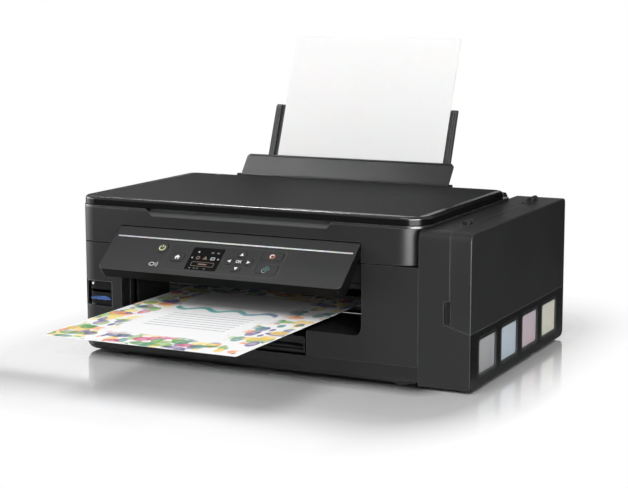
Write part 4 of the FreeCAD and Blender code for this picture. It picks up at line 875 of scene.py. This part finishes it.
def stop_sign(u, v):
    key_sign().ring(disc(u, v, 3.3), disc(u, v, 1.3)).make("stop_sign", RED_PRINT, "stop_key")
    key_sign(0.07).solid(arc_band(u, v, 2.5, 1.7, 120, 200)).make("stop_sign_arc", WHITE_PRINT, "stop_key")


def start_sign(u, v):
    outer, inner = ([(u, v - r), (u + r, v), (u, v + r), (u - r, v)] for r in (3.7, 2.8))
    sign = key_sign().ring(outer, inner)
    sign.solid([(u - 0.9, v - 1.2), (u + 1.3, v), (u - 0.9, v + 1.2)])
    sign.make("start_sign", TEAL_PRINT, "start_key")
    arc = arc_band(u - 1.4, v + 2.2, 3.2, 2.6, 60, 150)
    key_sign().solid(arc).make("start_sign_arc", DIM_PRINT, "start_key")


def zone_lines():
    """Fine lines that bound the touch area and the two larger keys."""
    lines = Piece(on_panel, -0.05, 0.03)
    lines.border(-98.0, 18.3, 34.3, 54.6, 0.5, 2.5, 2.0)
    lines.border(5.4, 20.4, 33.6, 32.4, 0.3, 2.0, 1.7)
    lines.border(5.4, 36.3, 33.6, 49.7, 0.3, 2.0, 1.7)
    lines.make("zone_lines", LINE_PRINT, "panel", "gloss_black")


DISPLAY_U0, DISPLAY_V0, DISPLAY_W, DISPLAY_H = -71.4, 22.0, 36.1, 29.7


def display_icons():
    """Lit marks on the display: a status row, a menu row with arrows, and a caption frame."""
    def at(a, b):
        return DISPLAY_U0 + a * DISPLAY_W, DISPLAY_V0 + b * DISPLAY_H

    def icons(over):
        return Piece(on_panel, LCD_RISE - 0.05, LCD_RISE + over)

    white, warm, dim = icons(0.04), icons(0.03), icons(0.03)
    white.solid(disc(*at(0.22, 0.20), 1.1))
    for a, way in ((0.08, -1), (0.92, 1)):
        u, v = at(a, 0.47)
        white.solid([(u + 1.2 * way, v), (u - 0.8 * way, v - 1.3), (u - 0.8 * way, v + 1.3)])
    u, v = at(0.74, 0.46)
    white.border(u - 2.4, v - 1.9, u + 2.4, v + 1.9, 0.9, 0.6, 0.3)
    white.make("display_bright", DISPLAY_WHITE, "panel")
    u, v = at(0.27, 0.46)
    warm.ring(disc(u, v, 2.2), disc(u, v, 1.2))
    u, v = at(0.50, 0.45)
    warm.solid([(u - 2.8, v + 1.9), (u, v - 2.5), (u + 2.8, v + 1.9)])
    u, v = at(0.14, 0.64)
    far_u, far_v = at(0.86, 0.84)
    warm.border(u, v, far_u, far_v, 0.5, 1.2, 0.8)
    warm.solid(round_rect(u + 8, v + 2.1, far_u - 8, far_v - 2.1, 0.6))
    warm.make("display_warm", DISPLAY_WARM, "panel")
    for a in (0.66, 0.84):
        u, v = at(a, 0.20)
        dim.solid(round_rect(u - 1.5, v - 1.0, u + 1.5, v + 1.0, 0.5))
    for a in (0.16, 0.30, 0.40, 0.62):
        u, v = at(a, 0.93)
        dim.solid(round_rect(u - 1.2, v - 0.5, u + 1.2, v + 0.5, 0.4))
    dim.make("display_faint", DISPLAY_DIM, "panel")


def panel_signs():
    power_sign(-107.9, 26.4)
    status_sign(-110.7, 48.7)
    home_sign(-85.4, 36.9)
    for name, u, v, du, dv in (("up", -14.3, 26.7, 0, -1), ("down", -14.3, 46.0, 0, 1),
                               ("left", -25.4, 36.6, -1, 0), ("right", -3.2, 36.4, 1, 0)):
        arrow_sign(name, u, v, du, dv)
    ok_sign(-14.3, 36.5)
    stop_sign(19.5, 26.4)
    start_sign(19.5, 43.0)
    zone_lines()
    display_icons()


# --- card bay, tank windows and inside details ---
LEFT_X, CORNER_RADIUS = -224.5, 18.0
SUPPORT_LEAN = math.radians(20.9)
SUPPORT_FOOT_Y, SUPPORT_FOOT_Z, SUPPORT_FACE = 70.05, 50.55, 2.4


def on_left_corner(inset):
    """Placing function that wraps (arc length from the left side, z) round the case's front left corner."""
    centre_x, centre_y = LEFT_X + CORNER_RADIUS, FRONT_Y + CORNER_RADIUS

    def place(along, z, height):
        bend = CORNER_RADIUS * math.pi / 2
        if along >= bend:
            return Vector((centre_x + along - bend, FRONT_Y - height + inset, z)) * MM
        angle = along / CORNER_RADIUS
        reach = CORNER_RADIUS + height - inset
        return Vector((centre_x - reach * math.cos(angle), centre_y - reach * math.sin(angle), z)) * MM
    return place


def subdivided(outline, step=2.0):
    """The same outline with points no further apart than step."""
    points = []
    for (u0, v0), (u1, v1) in zip(outline, outline[1:] + outline[:1]):
        parts = max(1, math.ceil(math.hypot(u1 - u0, v1 - v0) / step))
        points += [(u0 + (u1 - u0) * i / parts, v0 + (v1 - v0) * i / parts) for i in range(parts)]
    return points


def card_bay():
    """Bright line round the card bay, painted pale as a highlight; its activity light; and a glowing strip
    along the inserted card, a painted highlight.
    """
    rim = Piece(on_left_corner(0.6), -0.1, 0.12).border(16.3, 50.6, 50.4, 78.8, 0.45, 1.2, 0.8, subdivided)
    rim.make("card_bay_rim", RIM_HIGHLIGHT, "case")
    Piece(on_left_corner(3.8), -0.1, 0.7).solid(disc(23.0, 74.6, 1.0)).make("card_light", SLOT_LIGHT, "case")
    # painted highlight: a glowing strip along the card's edge
    glow = Piece(on_left_corner(3.8), -0.05, 0.06)
    glow.solid(subdivided([(18.4, 59.4), (30.0, 57.4), (40.0, 57.4), (49.4, 59.4), (40.0, 61.4), (30.0, 61.4)]))
    glow.make("card_glow", CARD_HIGHLIGHT, "case", "card_blue")


WINDOW_W, WINDOW_H, WINDOW_Z0 = 45.9, 34.0, 15.0


def window_rims():
    """Raised lip and outer line round every sight pane, painted pale as a highlight, and its two moulded level
    marks.
    """
    rims = Piece(on_plane("X", SIDE_X, 1), -0.3, 0.14)
    marks = Piece(on_plane("X", SIDE_X - 1.0, 1), -0.2, 0.12)
    for tank_y in TANK_Y:
        y = tank_y / MM
        y0, y1, z0, z1 = y - WINDOW_W / 2, y + WINDOW_W / 2, WINDOW_Z0, WINDOW_Z0 + WINDOW_H
        rims.levels(-0.3, 0.14).border(y0 - 0.8, z0 - 0.8, y1 + 0.8, z1 + 0.8, 0.8, 3.8, 3.0)
        rims.levels(-0.1, 0.05).border(y0 - 3.2, z0 - 3.0, y1 + 3.2, z1 + 3.0, 0.3, 5.0, 4.7)
        for level in (z0 + 3.5, z1 - 4.0):
            marks.solid(stroke(y - 19.0, level, y - 15.5, level, 0.5))
    rims.make("window_rims", RIM_HIGHLIGHT, "case", "case_black")
    marks.make("level_marks", DIM_PRINT, "case", "tank_clear")


def support_marks():
    """Small moulded marks near the top of the paper support's left strip."""
    def place(x, s, height):
        depth = SUPPORT_FACE - height
        return Vector((x, SUPPORT_FOOT_Y + s * math.sin(SUPPORT_LEAN) + depth * math.cos(SUPPORT_LEAN),
                       SUPPORT_FOOT_Z + s * math.cos(SUPPORT_LEAN) - depth * math.sin(SUPPORT_LEAN))) * MM
    marks = Piece(place, -0.1, 0.12)
    for s in (208.0, 190.0, 176.0):
        marks.border(-140.6, s - 2.2, -136.2, s + 2.2, 0.5, 0.5, 0.3)
    for s in (183.0, 199.5):
        marks.solid([(-140.4, s - 1.4), (-136.4, s - 1.4), (-138.4, s + 1.4)])
    marks.make("support_marks", MARK_PRINT, "paper_support", "guard_grey")


def calibration_strip():
    """White strip stuck under the glass beside the parked scanning bar."""
    strip = Piece(on_plane("Z", 154.6, -1), 0.05, 0.25)
    strip.solid(round_rect(-144.0, -132.0, -136.0, 80.0, 0.5))
    strip.make("calibration_strip", STRIP_PRINT, "scanner", "mat_white")


# --- repeated pieces, spread by Geometry Nodes ---
SPIN_SEED = 7


def spread(name, points, unit, turn, spin_limit, material, body, slot):
    """Copies of a unit mesh on points: a node group turned into one plain mesh."""
    base = bpy.data.meshes.new(name)
    base.from_pydata([tuple(Vector(p) * MM) for p in points], [], [])
    carrier = bpy.data.objects.new(name + "_carrier", base)
    scene.collection.objects.link(carrier)
    model = bpy.data.objects.new(name + "_unit", unit)
    tree = bpy.data.node_groups.new(name + "_spread", "GeometryNodeTree")
    new, link = tree.nodes.new, tree.links.new
    face = tree.interface
    face.new_socket("Geometry", in_out="INPUT", socket_type="NodeSocketGeometry")
    settings = (("Unit", "Object", model), ("Turn", "Vector", turn), ("Size", "Float", 1.0),
                ("Spin", "Float", spin_limit), ("Seed", "Int", SPIN_SEED), ("Finish", "Material", material))
    sockets = {label: face.new_socket(label, in_out="INPUT", socket_type="NodeSocket" + kind).identifier
               for label, kind, _ in settings}
    face.new_socket("Geometry", in_out="OUTPUT", socket_type="NodeSocketGeometry")
    entry, leave = new("NodeGroupInput"), new("NodeGroupOutput")
    info = new("GeometryNodeObjectInfo")
    spin = new("FunctionNodeRandomValue")
    spin.data_type = "FLOAT"
    own_axis = new("ShaderNodeCombineXYZ")
    place = new("GeometryNodeInstanceOnPoints")
    rotate = new("GeometryNodeRotateInstances")
    realize = new("GeometryNodeRealizeInstances")
    paint = new("GeometryNodeSetMaterial")
    link(entry.outputs["Unit"], info.inputs["Object"])
    link(entry.outputs["Seed"], spin.inputs["Seed"])
    link(entry.outputs["Geometry"], place.inputs["Points"])
    link(info.outputs["Geometry"], place.inputs["Instance"])
    link(entry.outputs["Turn"], place.inputs["Rotation"])
    link(entry.outputs["Size"], place.inputs["Scale"])
    link(entry.outputs["Spin"], spin.inputs[3])
    link(spin.outputs[1], own_axis.inputs["Z"])
    link(own_axis.outputs[0], rotate.inputs["Rotation"])
    link(place.outputs["Instances"], rotate.inputs["Instances"])
    link(rotate.outputs["Instances"], realize.inputs["Geometry"])
    link(realize.outputs["Geometry"], paint.inputs["Geometry"])
    link(entry.outputs["Finish"], paint.inputs["Material"])
    link(paint.outputs["Geometry"], leave.inputs["Geometry"])
    modifier = carrier.modifiers.new("spread", "NODES")
    modifier.node_group = tree
    for label, _, value in settings:
        modifier[sockets[label]] = value
    bpy.context.view_layer.update()
    grown = bpy.data.meshes.new_from_object(carrier.evaluated_get(bpy.context.evaluated_depsgraph_get()))
    grown.name = name
    carrier.modifiers.remove(modifier)
    bpy.data.objects.remove(carrier)
    bpy.data.objects.remove(model)
    register(name, grown, body)


def lathe(name, profile, steps=24):
    """Closed turned mesh about Z from (radius, height, lobe) points; lobe draws the ring into a cross."""
    mesh = bmesh.new()
    rings = []
    for radius, height, lobe in profile:
        count = 1 if radius == 0 else steps
        angles = [2 * math.pi * i / steps for i in range(count)]
        reach = [radius * (1 + lobe * math.cos(4 * angle)) for angle in angles]
        rings.append([mesh.verts.new((r * MM * math.cos(angle), r * MM * math.sin(angle), height * MM))
                      for r, angle in zip(reach, angles)])
    for lower, upper in zip(rings, rings[1:]):
        for i in range(steps):
            j = (i + 1) % steps
            corners = [ring[k % len(ring)] for ring, k in ((lower, i), (lower, j), (upper, j), (upper, i))]
            mesh.faces.new(list(dict.fromkeys(corners)))
    return plain_mesh(name, mesh)


def screw_unit():
    """Pan-head screw with a cross recess."""
    return lathe("screw", [(0, -0.4, 0), (2.6, -0.4, 0), (3.0, 0.1, 0), (2.8, 0.7, 0), (2.1, 1.1, 0),
                           (1.35, 1.25, 0.3), (1.15, 0.6, 0.4), (0, 0.2, 0)])


def slot_unit():
    """Raised rim of a rounded vent slot, lying along X."""
    rim = Piece(on_plane("Z", 0.0, 1), -0.2, 0.25).border(-9, -1.6, 9, 1.6, 0.7, 1.5, 0.8)
    rim.levels(-0.2, 0.03).solid(round_rect(-8.3, -0.9, 8.3, 0.9, 0.8))
    return plain_mesh("slot", rim.mesh)


def contact_unit():
    """Thin spring contact with a turned-down end."""
    pin = Piece(on_plane("Z", 0.0, 1), 0, 0.3)
    pin.solid([(-0.35, -2.0), (0.35, -2.0), (0.35, 1.4), (0.2, 2.0), (-0.2, 2.0), (-0.35, 1.4)])
    return plain_mesh("contact", pin.mesh)


def repeated_pieces():
    pan_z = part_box("base_pan")[0].z / MM
    back_turn, down_turn = (-math.pi / 2, 0.0, 0.0), (math.pi, 0.0, 0.0)
    rear = [(x, REAR_Y, z) for x, z in ((-212, 30), (-212, 112), (-60, 26), (-60, 112), (60, 112), (156, 30),
                                        (156, 112), (176, 14), (214, 14), (176, 150))]
    spread("rear_screws", rear, screw_unit(), back_turn, 1.5, SCREW_STEEL, "case", "steel")
    under = [(x, y, pan_z) for x in (-205, -60, 80, 158) for y in (-95, 85)]
    under += [(-20, -60, pan_z), (60, 30, pan_z)]
    spread("pan_screws", under, screw_unit(), down_turn, 1.5, SCREW_STEEL, "case", "steel")
    vents = [(-120 + 22 * column, -30 + 7 * row, pan_z) for column in range(5) for row in range(8)]
    spread("pan_vents", vents, slot_unit(), down_turn, 0.0, DARK_VENT, "case", "pan_black")
    pins = [(-209 + 2.4 * i, FRONT_Y + 13, 57.9) for i in range(9)]
    spread("card_contacts", pins, contact_unit(), (0.0, 0.0, 0.0), 0.0, GOLD_PLATE, "case", "shaft_steel")


panel_signs()
card_bay()
window_rims()
support_marks()
calibration_strip()
repeated_pieces()
